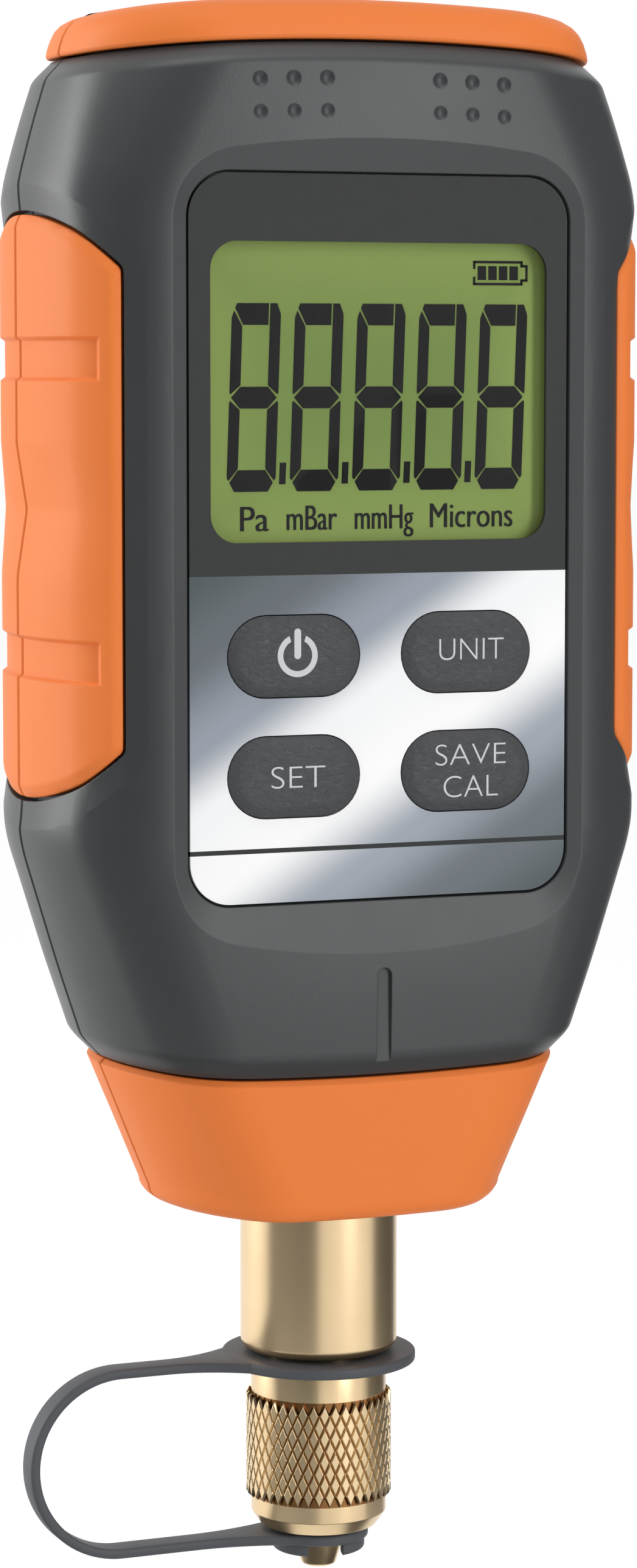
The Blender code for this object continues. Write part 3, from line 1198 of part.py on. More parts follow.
def main():
    for obj in list(bpy.data.objects):
        bpy.data.objects.remove(obj)
    for name in ("micron_vacuum_gauge", "cutters"):
        bpy.context.scene.collection.children.link(bpy.data.collections.new(name))
    front_cover()
    rear_cover()
    overmoulds()
    battery_door()
    screw("battery_door_screw", (0, DOOR_LEDGE_Y + GAP + DOOR_UNDER_HEAD, door_screw_z()), (0, -1, 0), DOOR_SCREW_LENGTH,
          DOOR_SCREW_R, DOOR_HEAD_R, DOOR_HEAD)
    face_panel()
    display()
    keypad()
    circuit_board()
    batteries()
    barrel()
    swivel_stem()
    swivel_nut()
    nut_fittings()
    strap()
    plug()
    sensor()


main()
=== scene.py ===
import math

import bmesh
import bpy
from mathutils import Matrix, Vector


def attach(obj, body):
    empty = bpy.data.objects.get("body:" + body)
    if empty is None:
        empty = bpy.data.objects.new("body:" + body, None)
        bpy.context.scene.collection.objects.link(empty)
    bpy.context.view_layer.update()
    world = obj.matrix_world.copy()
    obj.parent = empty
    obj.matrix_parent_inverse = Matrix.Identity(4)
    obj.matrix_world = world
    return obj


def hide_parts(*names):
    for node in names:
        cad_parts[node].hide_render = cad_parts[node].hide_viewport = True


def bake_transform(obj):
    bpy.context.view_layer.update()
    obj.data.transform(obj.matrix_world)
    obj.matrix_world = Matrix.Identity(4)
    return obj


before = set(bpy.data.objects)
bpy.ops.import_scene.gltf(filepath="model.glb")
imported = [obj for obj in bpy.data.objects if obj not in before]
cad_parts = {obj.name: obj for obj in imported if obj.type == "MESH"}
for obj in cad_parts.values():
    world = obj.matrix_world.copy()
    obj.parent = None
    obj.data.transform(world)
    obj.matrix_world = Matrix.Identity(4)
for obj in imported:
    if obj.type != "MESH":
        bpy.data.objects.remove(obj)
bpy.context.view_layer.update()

mm = 0.001  # meshes are drawn in millimetres and scaled once, when they are finished

# housing sizes
housing = {
    "crown": 450.0,         # slow curve across the front and rear face
    "halfWidth": 34.35,
    "halfDepth": 18.5,
    "seam": 0.175,          # half of the parting line
    "lip": 0.22,            # chamfer along it
    "flankSteps": 6,
    "cornerSteps": 16,
    "faceSteps": 9,
    # height, shares of half width and half depth, corner as a share of the depth, arch, softness
    "shell": (
        (53.0, 0.7394, 0.9405, 0.5135, 1 / 700, 0.0),
        (55.0, 0.8012, 1.0, 0.5405, 1 / 700, 0.7),
        (63.0, 0.869, 1.0135, 0.5405, 0.0, 3.0),
        (76.3, 0.9872, 1.0, 0.5405, 0.0, 1.2),
        (78.8, 1.0, 1.0, 0.5405, 0.0, 1.2),
        (142.5, 1.0, 1.0, 0.5405, 0.0, 2.0),
        (146.6, 0.993, 1.0, 0.5946, 0.0, 2.0),
        (153.2, 0.9418, 0.9946, 0.7027, 0.0, 3.0),
        (159.4, 0.8996, 0.9784, 0.7838, -1 / 576, 0.6),
        (161.2, 0.8431, 0.8865, 0.7568, -1 / 576, 0.0),
    ),
}


def rung(z, width, depth, corner, arch=0.0, soft=0.0):
    # one horizontal section of the housing
    return {"z": z, "width": width, "depth": depth, "corner": corner, "arch": arch, "soft": soft}


def moved(section, grow, growDepth=None, **changes):
    # the same section moved out, or in below 0
    growDepth = grow if growDepth is None else growDepth
    other = dict(section)
    other["width"] += grow
    other["depth"] += growDepth
    other["corner"] = max(other["corner"] + grow, 3.0)
    other.update(changes)
    return other


def mixed(low, high, share):
    return {key: low[key] + (high[key] - low[key]) * share for key in low}


def softened(sections, parts=6):
    # rounds the corners of the upright profile
    smooth = [sections[0]]
    for low, mid, high in zip(sections, sections[1:], sections[2:]):
        if mid["soft"] <= 0:
            smooth.append(mid)
            continue
        before = mixed(mid, low, min(mid["soft"] / (mid["z"] - low["z"]), 0.48))
        after = mixed(mid, high, min(mid["soft"] / (high["z"] - mid["z"]), 0.48))
        for step in range(parts + 1):
            share = step / parts
            smooth.append(mixed(mixed(before, mid, share), mixed(mid, after, share), share))
    return smooth + [sections[-1]]


def spread(sections, longest=5.0):
    # adds sections where two are far apart
    filled = [sections[0]]
    for low, high in zip(sections, sections[1:]):
        parts = max(1, math.ceil((high["z"] - low["z"]) / longest))
        filled += [mixed(low, high, step / parts) for step in range(1, parts + 1)]
    return filled


def shellSections():
    width, depth = housing["halfWidth"], housing["halfDepth"]
    return [rung(z, wide * width, deep * depth, corner * depth, arch, soft)
            for z, wide, deep, corner, arch, soft in housing["shell"]]


boot = {"bottom": 36.95, "lipHeight": 52.1, "top": 52.7, "thick": 2.3}


def bootTip():
    return rung(boot["bottom"] + 1.35, 19.9, 16.6, 9.0, 1 / 700)


def bootLip():
    return rung(boot["lipHeight"], 25.46, 17.9, 9.5, 1 / 700)


def bootSections():
    tip, lip = bootTip(), bootLip()
    rim = []
    for step in range(7):
        angle = math.radians(90 * step / 6)
        rim.append(moved(tip, -2.2 + 2.2 * math.sin(angle), z=boot["bottom"] + 1.9 * (1 - math.cos(angle))))
    return rim + [mixed(rim[-1], lip, share / 8) for share in range(1, 9)] + [
        moved(lip, -0.55, z=boot["top"])]


def noseSections(grow=0.0):
    # the covers' nose, which the boot is moulded over
    tip = moved(bootTip(), -boot["thick"] + grow, z=41.3 - grow, arch=0.0)
    root = moved(bootLip(), -boot["thick"] + grow, z=53.0)
    return [tip] + [mixed(tip, root, share / 6) for share in range(1, 6)] + [root]


bumper = {"low": 161.5, "width": 29.45, "depth": 16.9, "corner": 14.0}


def bumperSections():
    edge = rung(bumper["low"], bumper["width"], bumper["depth"], bumper["corner"], -1 / 576)
    rows = ((0.0, -0.30, -0.30), (0.12, -0.10, -0.10), (0.4, 0.0, 0.0), (1.0, -0.10, -0.08), (2.0, -0.45, -0.36),
            (2.9, -0.95, -0.80), (3.5, -1.60, -1.35), (3.95, -2.6, -2.1), (4.25, -4.0, -3.2), (4.42, -5.8, -4.8),
            (4.49, -9.0, -7.4), (4.5, -14.0, -10.0))
    return [moved(edge, grow, deep, z=bumper["low"] + lift) for lift, grow, deep in rows]


def plinthSections(grow=0.0):
    root = moved(shellSections()[-1], -boot["thick"] + grow)
    return [root, moved(root, -0.6, z=161.2 + 2.4 + grow)]


def cornerCentre(section):
    flank = section["width"] - section["corner"]
    crown = housing["crown"] - section["depth"]
    reach = (housing["crown"] - section["corner"]) ** 2 - flank ** 2 - crown ** 2
    cy = reach / (2 * crown)
    return math.sqrt(max(flank ** 2 - cy ** 2, 0.0)), cy


def quarter(section, start, steps):
    # points from the flank to the middle of the face: an arc round the axis, a corner arc and a slow arc
    cx, cy = cornerCentre(section)
    crown, width, corner = section["depth"] - housing["crown"], section["width"], section["corner"]
    first = math.asin(start / width)
    turn = math.atan2(cy, cx)
    face = math.atan2(cx, cy - crown)
    points = []
    for step in range(steps[0]):
        angle = first + (turn - first) * step / steps[0]
        points.append((width * math.cos(angle), width * math.sin(angle)))
    for step in range(steps[1]):
        angle = turn + (math.pi / 2 - face - turn) * step / steps[1]
        points.append((cx + corner * math.cos(angle), cy + corner * math.sin(angle)))
    for step in range(steps[2] + 1):
        angle = face * (1 - step / steps[2])
        points.append((housing["crown"] * math.sin(angle), crown + housing["crown"] * math.cos(angle)))
    return points


def fineSteps():
    return housing["flankSteps"], housing["cornerSteps"], housing["faceSteps"]


def chain(bm, points, closed=False):
    # vertices joined by edges, the start of every loft
    verts = [bm.verts.new(point) for point in points]
    pairs = list(zip(verts, verts[1:])) + ([(verts[-1], verts[0])] if closed else [])
    return [bm.edges.new(pair) for pair in pairs]


def loft(bm, rows, closed=False):
    # a skin through rows of points, grown edge by edge; gives back the first and last edges
    first = edges = chain(bm, rows[0], closed)
    verts = list(bm.verts)[-len(rows[0]):]
    for row in rows[1:]:
        made = bmesh.ops.extrude_edge_only(bm, edges=edges)["geom"]
        fresh = set(vertsOf(made))
        edges = [part for part in made if isinstance(part, bmesh.types.BMEdge) and set(part.verts) <= fresh]
        after = []
        for vert, point in zip(verts, row):
            grown = next(edge.other_vert(vert) for edge in vert.link_edges if edge.other_vert(vert) in fresh)
            grown.co = point
            after.append(grown)
        verts = after
    return first, edges


def halfForm(sections, side, steps=None, lip=0.0):
    # one half of a closed form, flat along the seam; side is -1 at the front, lip chamfers the seam
    bm = bmesh.new()
    seam = side * housing["seam"]
    rows = []
    for section in sections:
        flat = quarter(section, housing["seam"] + lip, steps or fineSteps())
        if lip:
            flat.insert(0, (flat[0][0] - lip, housing["seam"]))
        flat += [(-x, y) for x, y in reversed(flat[:-1])]
        rows.append([(x, side * y, section["z"] + section["arch"] * x * x) for x, y in flat])
    for ends in loft(bm, rows):
        for vert in vertsOf(bmesh.ops.extrude_edge_only(bm, edges=ends)["geom"]):
            vert.co.y = seam
    bmesh.ops.remove_doubles(bm, verts=bm.verts, dist=1e-4)
    return sealed(bm)


def sealed(bm):
    # fills the open ends and turns the faces outwards
    bmesh.ops.holes_fill(bm, edges=[edge for edge in bm.edges if edge.is_boundary])
    bmesh.ops.recalc_face_normals(bm, faces=bm.faces)
    return bm


def vertsOf(parts):
    return [part for part in parts if isinstance(part, bmesh.types.BMVert)]


def wholeForm(sections, steps=(3, 7, 4)):
    # a closed form over both halves, for cutters that run past the seam
    front, rear = halfForm(sections, -1, steps), halfForm(sections, 1, steps)
    for vert in list(front.verts) + list(rear.verts):
        if abs(abs(vert.co.y) - housing["seam"]) < 1e-5:
            vert.co.y = 0.0
    both = gathered(front, rear)
    inner = [side for side in both.faces if all(abs(vert.co.y) < 1e-6 for vert in side.verts)]
    bmesh.ops.delete(both, geom=inner, context="FACES_ONLY")
    bmesh.ops.remove_doubles(both, verts=both.verts, dist=1e-3)
    return sealed(both)


def gathered(*forms):
    # several forms in one bmesh
    whole = bmesh.new()
    for form in forms:
        mesh = bpy.data.meshes.new("form")
        form.to_mesh(mesh)
        form.free()
        whole.from_mesh(mesh)
        bpy.data.meshes.remove(mesh)
    return whole


def brick(low, high):
    bm = bmesh.new()
    bmesh.ops.create_cube(bm, size=1.0)
    low, high = Vector(low), Vector(high)
    bmesh.ops.scale(bm, vec=high - low, verts=bm.verts)
    bmesh.ops.translate(bm, vec=(low + high) / 2, verts=bm.verts)
    return bm


def rod(radius, start, end, segments=48):
    start, end = Vector(start), Vector(end)
    bm = bmesh.new()
    bmesh.ops.create_cone(bm, cap_ends=True, segments=segments, radius1=radius, radius2=radius,
                          depth=(end - start).length)
    turn = Vector((0, 0, 1)).rotation_difference(end - start).to_matrix().to_4x4()
    bmesh.ops.transform(bm, matrix=Matrix.Translation((start + end) / 2) @ turn, verts=bm.verts)
    return bm


def turned(profile, segments=96, closed=False):
    # a profile of (radius, height) points spun round the upright axis
    bm = bmesh.new()
    edges = chain(bm, [(radius, 0.0, z) for radius, z in profile], closed)
    bmesh.ops.spin(bm, geom=list(bm.verts) + edges, cent=(0, 0, 0), axis=(0, 0, 1), angle=2 * math.pi,
                   steps=segments, use_merge=True)
    bmesh.ops.remove_doubles(bm, verts=bm.verts, dist=1e-4)
    bmesh.ops.recalc_face_normals(bm, faces=bm.faces)
    return bm


def arc(cx, cz, radius, first, last, steps):
    return [(cx + radius * math.cos(math.radians(first + (last - first) * step / steps)),
             cz + radius * math.sin(math.radians(first + (last - first) * step / steps))) for step in range(steps + 1)]


def rounded(left, right, low, high, corner, steps):
    # a rectangle with round corners, from its right side over the top
    points = []
    for turn, (x, z) in enumerate(((right - corner, high - corner), (left + corner, high - corner),
                                   (left + corner, low + corner), (right - corner, low + corner))):
        points += arc(x, z, corner, 90 * turn, 90 * turn + 90, steps)
    return points


def roundedOutline(halfWidth, low, high, corner, steps=12):
    return rounded(-halfWidth, halfWidth, low, high, corner, steps)


def stadium(cx, cz, length, height, steps=20):
    radius = height / 2
    reach = length / 2 - radius
    return arc(cx + reach, cz, radius, -90, 90, steps) + arc(cx - reach, cz, radius, 90, 270, steps)


def stacked(outlines):
    # rings of (depth, outline) joined into a closed form; each outline has as many points as the last
    bm = bmesh.new()
    loft(bm, [[(x, y, z) for x, z in outline] for y, outline in outlines], True)
    return sealed(bm)


def prism(outline, front, back):
    return stacked([(front, outline), (back, outline)])


def solid(name, bm):
    # a working object in millimetres
    mesh = bpy.data.meshes.new(name)
    bm.to_mesh(mesh)
    bm.free()
    obj = bpy.data.objects.new(name, mesh)
    bpy.context.scene.collection.objects.link(obj)
    return obj


def settle(obj):
    # applies an object's modifiers
    graph = bpy.context.evaluated_depsgraph_get()
    mesh = bpy.data.meshes.new_from_object(obj.evaluated_get(graph))
    obj.modifiers.clear()
    obj.data = mesh
    return obj


def combine(obj, other, operation, solver="MANIFOLD"):
    step = obj.modifiers.new("Cut", "BOOLEAN")
    step.operation, step.object, step.solver = operation, other, solver
    before = obj.data
    settle(obj)
    if not len(obj.data.polygons):
        if solver == "EXACT":
            raise ValueError("a cut left nothing of " + obj.name)
        obj.data = before
        return combine(obj, other, operation, "EXACT")
    bpy.data.objects.remove(other)
    return obj


def cut(obj, *cutters):
    for cutter in cutters:
        combine(obj, solid("cutter", cutter), "DIFFERENCE")
    return obj


def join(obj, *others):
    for other in others:
        combine(obj, solid("other", other), "UNION")
    return obj


def finished(obj, body, material, nodes=(), smooth=30):
    # into metres, shaded, tied to its body and put in place of the imported nodes it replaces
    obj.data.transform(Matrix.Scale(mm, 4))
    obj.data.materials.clear()
    obj.data.materials.append(material)
    obj.data.shade_smooth()
    obj.data.set_sharp_from_angle(angle=math.radians(smooth))
    if body:
        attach(obj, body)
    if nodes:
        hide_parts(*nodes)
    return obj


# finishes
def tone(red, green, blue):
    # a colour as seen on a screen, made linear
    def linear(level):
        share = level / 255
        return share / 12.92 if share <= 0.04045 else ((share + 0.055) / 1.055) ** 2.4
    return linear(red), linear(green), linear(blue), 1.0


def feed(tree, node, sockets):
    # a value or a link for each socket
    for socket, value in sockets.items():
        if isinstance(value, bpy.types.NodeSocket):
            tree.links.new(value, node.inputs[socket])
        else:
            node.inputs[socket].default_value = value


def added(tree, kind, sockets, output=0, **settings):
    # a new node, given by one of its outputs
    node = tree.nodes.new("ShaderNode" + kind)
    for name, value in settings.items():
        setattr(node, name, value)
    feed(tree, node, sockets)
    return node.outputs[output]


def calc(tree, operation, *values):
    return added(tree, "Math", dict(enumerate(values)), operation=operation)


def objectPlace(tree):
    return added(tree, "TexCoord", {}, "Object")


def axis(tree, place, name):
    return added(tree, "SeparateXYZ", {0: place}, name)


def noise(tree, place, scale, detail=2.0, distortion=0.0):
    return added(tree, "TexNoise", {"Vector": place, "Scale": scale, "Detail": detail, "Distortion": distortion})


def ranged(tree, value, low, high, first=0.0, last=1.0):
    # first to last made low to high
    return added(tree, "MapRange", {"Value": value, "From Min": first, "From Max": last, "To Min": low, "To Max": high})


def blendColors(tree, factor, first, second):
    return added(tree, "Mix", {0: factor, 6: first, 7: second}, 2, data_type="RGBA")


def heightMask(tree, place, low, high):
    # 1 where the height in metres lies between the two, 0 elsewhere
    height = axis(tree, place, "Z")
    return calc(tree, "MULTIPLY", calc(tree, "GREATER_THAN", height, low), calc(tree, "LESS_THAN", height, high))


def relief(tree, strength, depth, height, edge):
    # bump over edges softened by a small radius
    soft = added(tree, "Bevel", {"Radius": edge}, samples=6)
    return added(tree, "Bump", {"Strength": strength, "Distance": depth, "Height": height, "Normal": soft})


def mouldGroup():
    # grain of a moulded skin: fine pits, slow mottle and softened edges
    group = bpy.data.node_groups.new("mouldedSkin", "ShaderNodeTree")
    for label, kind, value in (("Color", "Color", (0.1, 0.1, 0.1, 1)), ("Roughness", "Float", 0.5),
                               ("Mottle", "Float", 0.08), ("Grain", "Float", 3000.0),
                               ("Depth", "Float", 0.00002), ("Edge", "Float", 0.0002)):
        group.interface.new_socket(name=label, in_out="INPUT", socket_type="NodeSocket" + kind).default_value = value
    for label, kind in (("Color", "Color"), ("Roughness", "Float"), ("Normal", "Vector")):
        group.interface.new_socket(name=label, in_out="OUTPUT", socket_type="NodeSocket" + kind)
    given, result = group.nodes.new("NodeGroupInput").outputs, group.nodes.new("NodeGroupOutput")
    place = objectPlace(group)
    pits = noise(group, place, given["Grain"], 3.0)
    # the given colour, a little lighter or darker over the piece
    drift = calc(group, "SUBTRACT", noise(group, place, 55.0, 4.0), 0.5)
    swing = calc(group, "MULTIPLY_ADD", drift, given["Mottle"], 1.0)
    feed(group, result, {
        "Color": added(group, "VectorMath", {0: given["Color"], "Scale": swing}, operation="SCALE"),
        "Roughness": calc(group, "MULTIPLY_ADD", drift, 0.18, given["Roughness"]),
        "Normal": relief(group, 0.6, given["Depth"], pits, given["Edge"]),
    })
    return group


skinGroup = mouldGroup()


def blank(name, metallic=0.0, specular=0.25, **sockets):
    material = bpy.data.materials.new(name)
    material.use_nodes = True
    tree = material.node_tree
    shader = tree.nodes["Principled BSDF"]
    if not metallic:
        sockets["Specular IOR Level"] = specular
    feed(tree, shader, {"Metallic": metallic, **sockets})
    return material, tree, shader


def moulded(name, color, roughness, mottle, grain, depth, edge, metallic=0.0, specular=0.25):
    material, tree, shader = blank(name, metallic, specular)
    skin = tree.nodes.new("ShaderNodeGroup")
    skin.node_tree = skinGroup
    feed(tree, skin, {"Color": color, "Roughness": roughness, "Mottle": mottle, "Grain": grain, "Depth": depth,
                      "Edge": edge})
    for label, socket in (("Color", "Base Color"), ("Roughness", "Roughness"), ("Normal", "Normal")):
        tree.links.new(skin.outputs[label], shader.inputs[socket])
    return material


panelFilm = {
    "dark": tone(54, 56, 55),
    "silverTop": 0.1061,
    "line": (0.0771, 0.0776),
    "slope": -0.65,         # how the painted reflection band leans across the keypad
    "across": (0.120, 0.058),
    # share of the way across the painted reflection band, colour
    "reflectionStops": ((0.0, tone(82, 90, 93)), (0.14, tone(102, 109, 114)), (0.3, tone(150, 157, 168)),
              (0.42, tone(243, 244, 245)), (0.56, tone(250, 250, 250)), (0.7, tone(158, 165, 175)),
              (0.84, tone(110, 117, 122)), (1.0, tone(84, 92, 96))),
}


def filmFinish():
    # dark film above, silver film below coloured with a painted reflection band, and a thin dark line
    material, tree, shader = blank("panelFilm", specular=0.1)
    place = objectPlace(tree)
    # distance across the leaning painted reflection band, 0 at the upper left and 1 at the lower right
    reflectionLean = calc(tree, "MULTIPLY_ADD", axis(tree, place, "X"), panelFilm["slope"], axis(tree, place, "Z"))
    band = tree.nodes.new("ShaderNodeValToRGB")
    band.color_ramp.interpolation = "EASE"
    reflectionStops = band.color_ramp.elements
    for number, (spot, color) in enumerate(panelFilm["reflectionStops"]):
        stop = reflectionStops[number] if number < 2 else reflectionStops.new(spot)
        stop.position, stop.color = spot, color
    feed(tree, band, {0: ranged(tree, reflectionLean, 0.0, 1.0, *panelFilm["across"])})
    silver = heightMask(tree, place, 0.0, panelFilm["silverTop"])
    # the silver area takes the painted reflection band
    filmWithReflection = blendColors(tree, silver, panelFilm["dark"], band.outputs[0])
    feed(tree, shader, {
        "Base Color": blendColors(tree, heightMask(tree, place, *panelFilm["line"]), filmWithReflection, tone(52, 54, 54)),
        "Roughness": ranged(tree, noise(tree, place, 900.0), 0.36, 0.46),
    })
    return material


def displayFinish():
    # reflective green with lighter edges all round, and a faint painted glow from emission
    material, tree, shader = blank("displayGreen", specular=0.03, Roughness=0.6)
    place = objectPlace(tree)
    centred = added(tree, "Mapping", {"Vector": place, "Location": (0.0, 0.0, -0.12505)})
    shares = [calc(tree, "POWER", calc(tree, "ABSOLUTE", calc(tree, "DIVIDE", axis(tree, centred, name), reach)), power)
              for name, reach, power in (("X", 0.0193, 4.0), ("Z", 0.0158, 2.4))]
    blur = calc(tree, "MULTIPLY_ADD", noise(tree, place, 60.0), 0.12, calc(tree, "MAXIMUM", *shares))
    color = blendColors(tree, blur, tone(122, 147, 76), tone(154, 176, 94))
    # the faint emission is a painted glow; the display is no lamp
    feed(tree, shader, {"Base Color": color, "Emission Color": color, "Emission Strength": 0.02})
    return material


def brassFinish(name, grooves=False):
    # turned brass: fine lathe rings, patches of tarnish; painted shade darkens the grooves of the knurl
    material, tree, shader = blank(name, 1.0)
    place = objectPlace(tree)
    lathe = noise(tree, added(tree, "Mapping", {"Vector": place, "Scale": (6.0, 6.0, 9000.0)}), 1.0)
    color = blendColors(tree, noise(tree, place, 160.0, 3.0), tone(228, 200, 156), tone(240, 214, 172))
    if grooves:
        flat = added(tree, "VectorMath", {0: place, 1: (1.0, 1.0, 0.0)}, operation="MULTIPLY")
        reach = added(tree, "VectorMath", {0: flat}, "Value", operation="LENGTH")
        # painted shade: darker brown below the crest radius, in the knurl's grooves
        grooveShade = blendColors(tree, ranged(tree, reach, 0.0, 1.0, 0.00772, 0.0079), tone(150, 108, 66), color)
        color = blendColors(tree, heightMask(tree, place, 0.0034, 0.0151), color, grooveShade)
    feed(tree, shader, {"Base Color": color, "Roughness": ranged(tree, lathe, 0.26, 0.31),
                        "Normal": relief(tree, 0.05, 0.000004, lathe, 0.00012)})
    return material


def keyFinish():
    # soft key tops with a fine leather wrinkle
    material, tree, shader = blank("keyRubber", specular=0.2)
    place = objectPlace(tree)
    stretch = added(tree, "Mapping", {"Vector": place, "Rotation": (0.0, 0.5, 0.0), "Scale": (1.0, 1.0, 1.7)})
    wrinkle = noise(tree, stretch, 1300.0, 2.5, 0.8)
    feed(tree, shader, {
        "Base Color": blendColors(tree, noise(tree, place, 120.0), tone(70, 71, 73), tone(80, 81, 83)),
        "Roughness": wrinkle,
        "Normal": added(tree, "Bump", {"Strength": 0.5, "Distance": 0.0005, "Height": wrinkle}),
    })
    return material


def paneFinish():
    # clear pane: mostly open, with a faint sheen that varies like wiped plastic
    material, tree, shader = blank("clearPane", Alpha=0.06)
    wiped = noise(tree, objectPlace(tree), 90.0)
    feed(tree, shader, {"Base Color": tone(30, 32, 30), "Roughness": ranged(tree, wiped, 0.04, 0.12)})
    return material


finishes = {
    "charcoal": moulded("charcoalPlastic", tone(60, 62, 63), 0.38, 0.08, 2600.0, 0.000016, 0.00018, specular=0.38),
    "orange": moulded("orangeRubber", tone(236, 126, 58), 0.52, 0.06, 2200.0, 0.00002, 0.00025),
    "film": filmFinish(),
    "display": displayFinish(),
    "ink": moulded("displayInk", tone(36, 36, 36), 0.6, 0.05, 2000.0, 0.000001, 0.00001, specular=0.03),
    "legend": moulded("legendInk", tone(202, 204, 206), 0.5, 0.05, 2400.0, 0.00001, 0.00002),
    "key": keyFinish(),
    "pane": paneFinish(),
    "brass": brassFinish("turnedBrass"),
    "knurl": brassFinish("knurledBrass", True),
    "strap": moulded("strapRubber", tone(82, 85, 89), 0.5, 0.1, 1800.0, 0.00003, 0.0003),
    "rubber": moulded("blackRubber", tone(38, 39, 41), 0.6, 0.1, 1800.0, 0.00003, 0.0002),
    "blackPlastic": moulded("blackPlastic", tone(34, 35, 37), 0.4, 0.1, 2600.0, 0.00001, 0.0002),
    "steel": moulded("platedSteel", tone(196, 197, 198), 0.3, 0.15, 1500.0, 0.000006, 0.0001, metallic=1.0),
    "board": moulded("boardGreen", tone(38, 104, 66), 0.45, 0.2, 900.0, 0.00001, 0.0001),
    "glass": moulded("glassPlate", tone(120, 140, 92), 0.15, 0.1, 600.0, 0.000001, 0.0001),
    "lamp": moulded("lightPlate", tone(226, 232, 210), 0.4, 0.05, 900.0, 0.000001, 0.0001),
    "jacket": moulded("cellJacket", tone(58, 60, 68), 0.3, 0.2, 400.0, 0.000002, 0.0001, metallic=0.4),
    "ribbon": moulded("ribbonCable", tone(170, 172, 176), 0.5, 0.1, 1200.0, 0.00002, 0.0001),
}
print("finishes made")

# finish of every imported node, by the longest start that its name has here
nodeFinishes = {
    "charcoal": ("front_cover", "rear_cover", "battery_door"), "orange": ("top_bumper", "grip", "boot"),
    "film": ("face_panel",), "pane": ("display_window",), "glass": ("lcd_glass",), "lamp": ("backlight",),
    "key": ("key",), "blackPlastic": ("key_switch",), "board": ("main_board", "sensor_board"), "jacket": ("battery",),
    "rubber": ("zebra_strip", "seat_gasket", "plug_seal", "sensor_seal"),
    "brass": ("barrel", "swivel", "core_depressor", "plug"), "strap": ("strap",), "ribbon": ("sensor_ribbon",),
    "steel": ("battery_door_screw", "board_screw", "case_screw", "contact", "spring", "sensor"),
}
finishByStart = {start: finishes[name] for name, starts in nodeFinishes.items() for start in starts}
for nodeName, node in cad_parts.items():
    start = max((start for start in finishByStart if nodeName.startswith(start)), key=len)
    node.data.materials.clear()
    node.data.materials.append(finishByStart[start])
    for polygon in node.data.polygons:
        polygon.material_index = 0

# side grips and the bands round them
grip = {
    "edge": 28.5, "high": 137.7, "low": 88.1, "fillet": 1.0,
    "thick": 1.7, "pocketGap": 0.3,
    "band": 2.5, "bandDrop": 0.55,
    "bevel": 0.85, "bevelDrop": 0.5,
    "slots": (128.5, 97.2), "slotHeight": 4.6, "slotDepth": 0.5, "slotReach": 14.85, "slotWall": 0.4,
    "pinch": 112.7, "pinchHalf": 7.0, "pinchDepth": 1.1, "pinchReach": 16.1,
}


def outlinePlanes(grow):
    # the grip's outline in the side of the front view, with rounded corners: a point and an outward direction each
    tilt = math.sqrt(0.5)
    lift = grip["fillet"] * (math.sqrt(2) - 1)
    planes = []
    for corner, sign in ((grip["high"] - lift, 1), (grip["low"] + lift, -1)):
        centre = Vector((grip["edge"] + grip["fillet"], 0, corner))
        for step in range(6):
            angle = math.radians(180 - 45 * step / 5)
            outward = Vector((math.cos(angle), 0, sign * math.sin(angle)))
            planes.append((centre + outward * (grip["fillet"] + grow), outward))
    return planes


def insideOutline(point, planes):
    flat = Vector((abs(point.x), 0, point.z))
    return min((origin - flat).dot(outward) for origin, outward in planes)


def waist():
    return rung(0.0, housing["halfWidth"], housing["halfDepth"], 0.5405 * housing["halfDepth"])


def outwardAt(point):
    cx, cy = cornerCentre(waist())
    x, y = abs(point.x), abs(point.y)
    onFlank = math.atan2(y, x) < math.atan2(cy, cx)
    normal = Vector((x, y, 0)) if onFlank else Vector((max(x - cx, 0.0), max(y - cy, 1e-6), 0))
    return Vector((math.copysign(normal.x, point.x), math.copysign(normal.y, point.y), 0)).normalized()


def scoreAlong(bm, origin, direction, faces=None, clearOuter=False):
    # cuts an edge into the faces along a plane
    faces = list(bm.faces) if faces is None else faces
    edges = {edge for face in faces for edge in face.edges}
    verts = {vert for face in faces for vert in face.verts}
    bmesh.ops.bisect_plane(bm, geom=list(verts) + list(edges) + faces, dist=1e-5, plane_co=origin,
                           plane_no=direction, clear_outer=clearOuter)


def sided(plane, hand):
    origin, outward = plane
    return Vector((hand * origin.x, 0, origin.z)), Vector((hand * outward.x, 0, outward.z))


def ramp(depth, run, round):
    # 0 below the start, then a slope of 1 per run, with a rounded start
    if depth <= -round:
        return 0.0
    if depth < round:
        return (depth + round) ** 2 / (4 * round) / run
    return depth / run


def pressBands(bm):
    # presses the sloping bands round both grips into a cover
    seam = housing["seam"]
    for hand in (-1, 1):
        for plane in outlinePlanes(grip["band"]):
            near = [face for face in bm.faces if hand * face.calc_center_median().x > 15
                    and abs(abs(face.calc_center_median().y) - seam) > 1e-4
                    and 70 < face.calc_center_median().z < 156]
            scoreAlong(bm, *sided(plane, hand), near)
    planes = outlinePlanes(grip["band"])
    for vert in bm.verts:
        if abs(vert.co.x) < 20 or abs(vert.co.x) < 30 and abs(abs(vert.co.y) - seam) < 1e-4:
            continue
        depth = insideOutline(vert.co, planes)
        if depth > 0:
            vert.co -= outwardAt(vert.co) * grip["bandDrop"] * min(depth / grip["band"], 1.0)


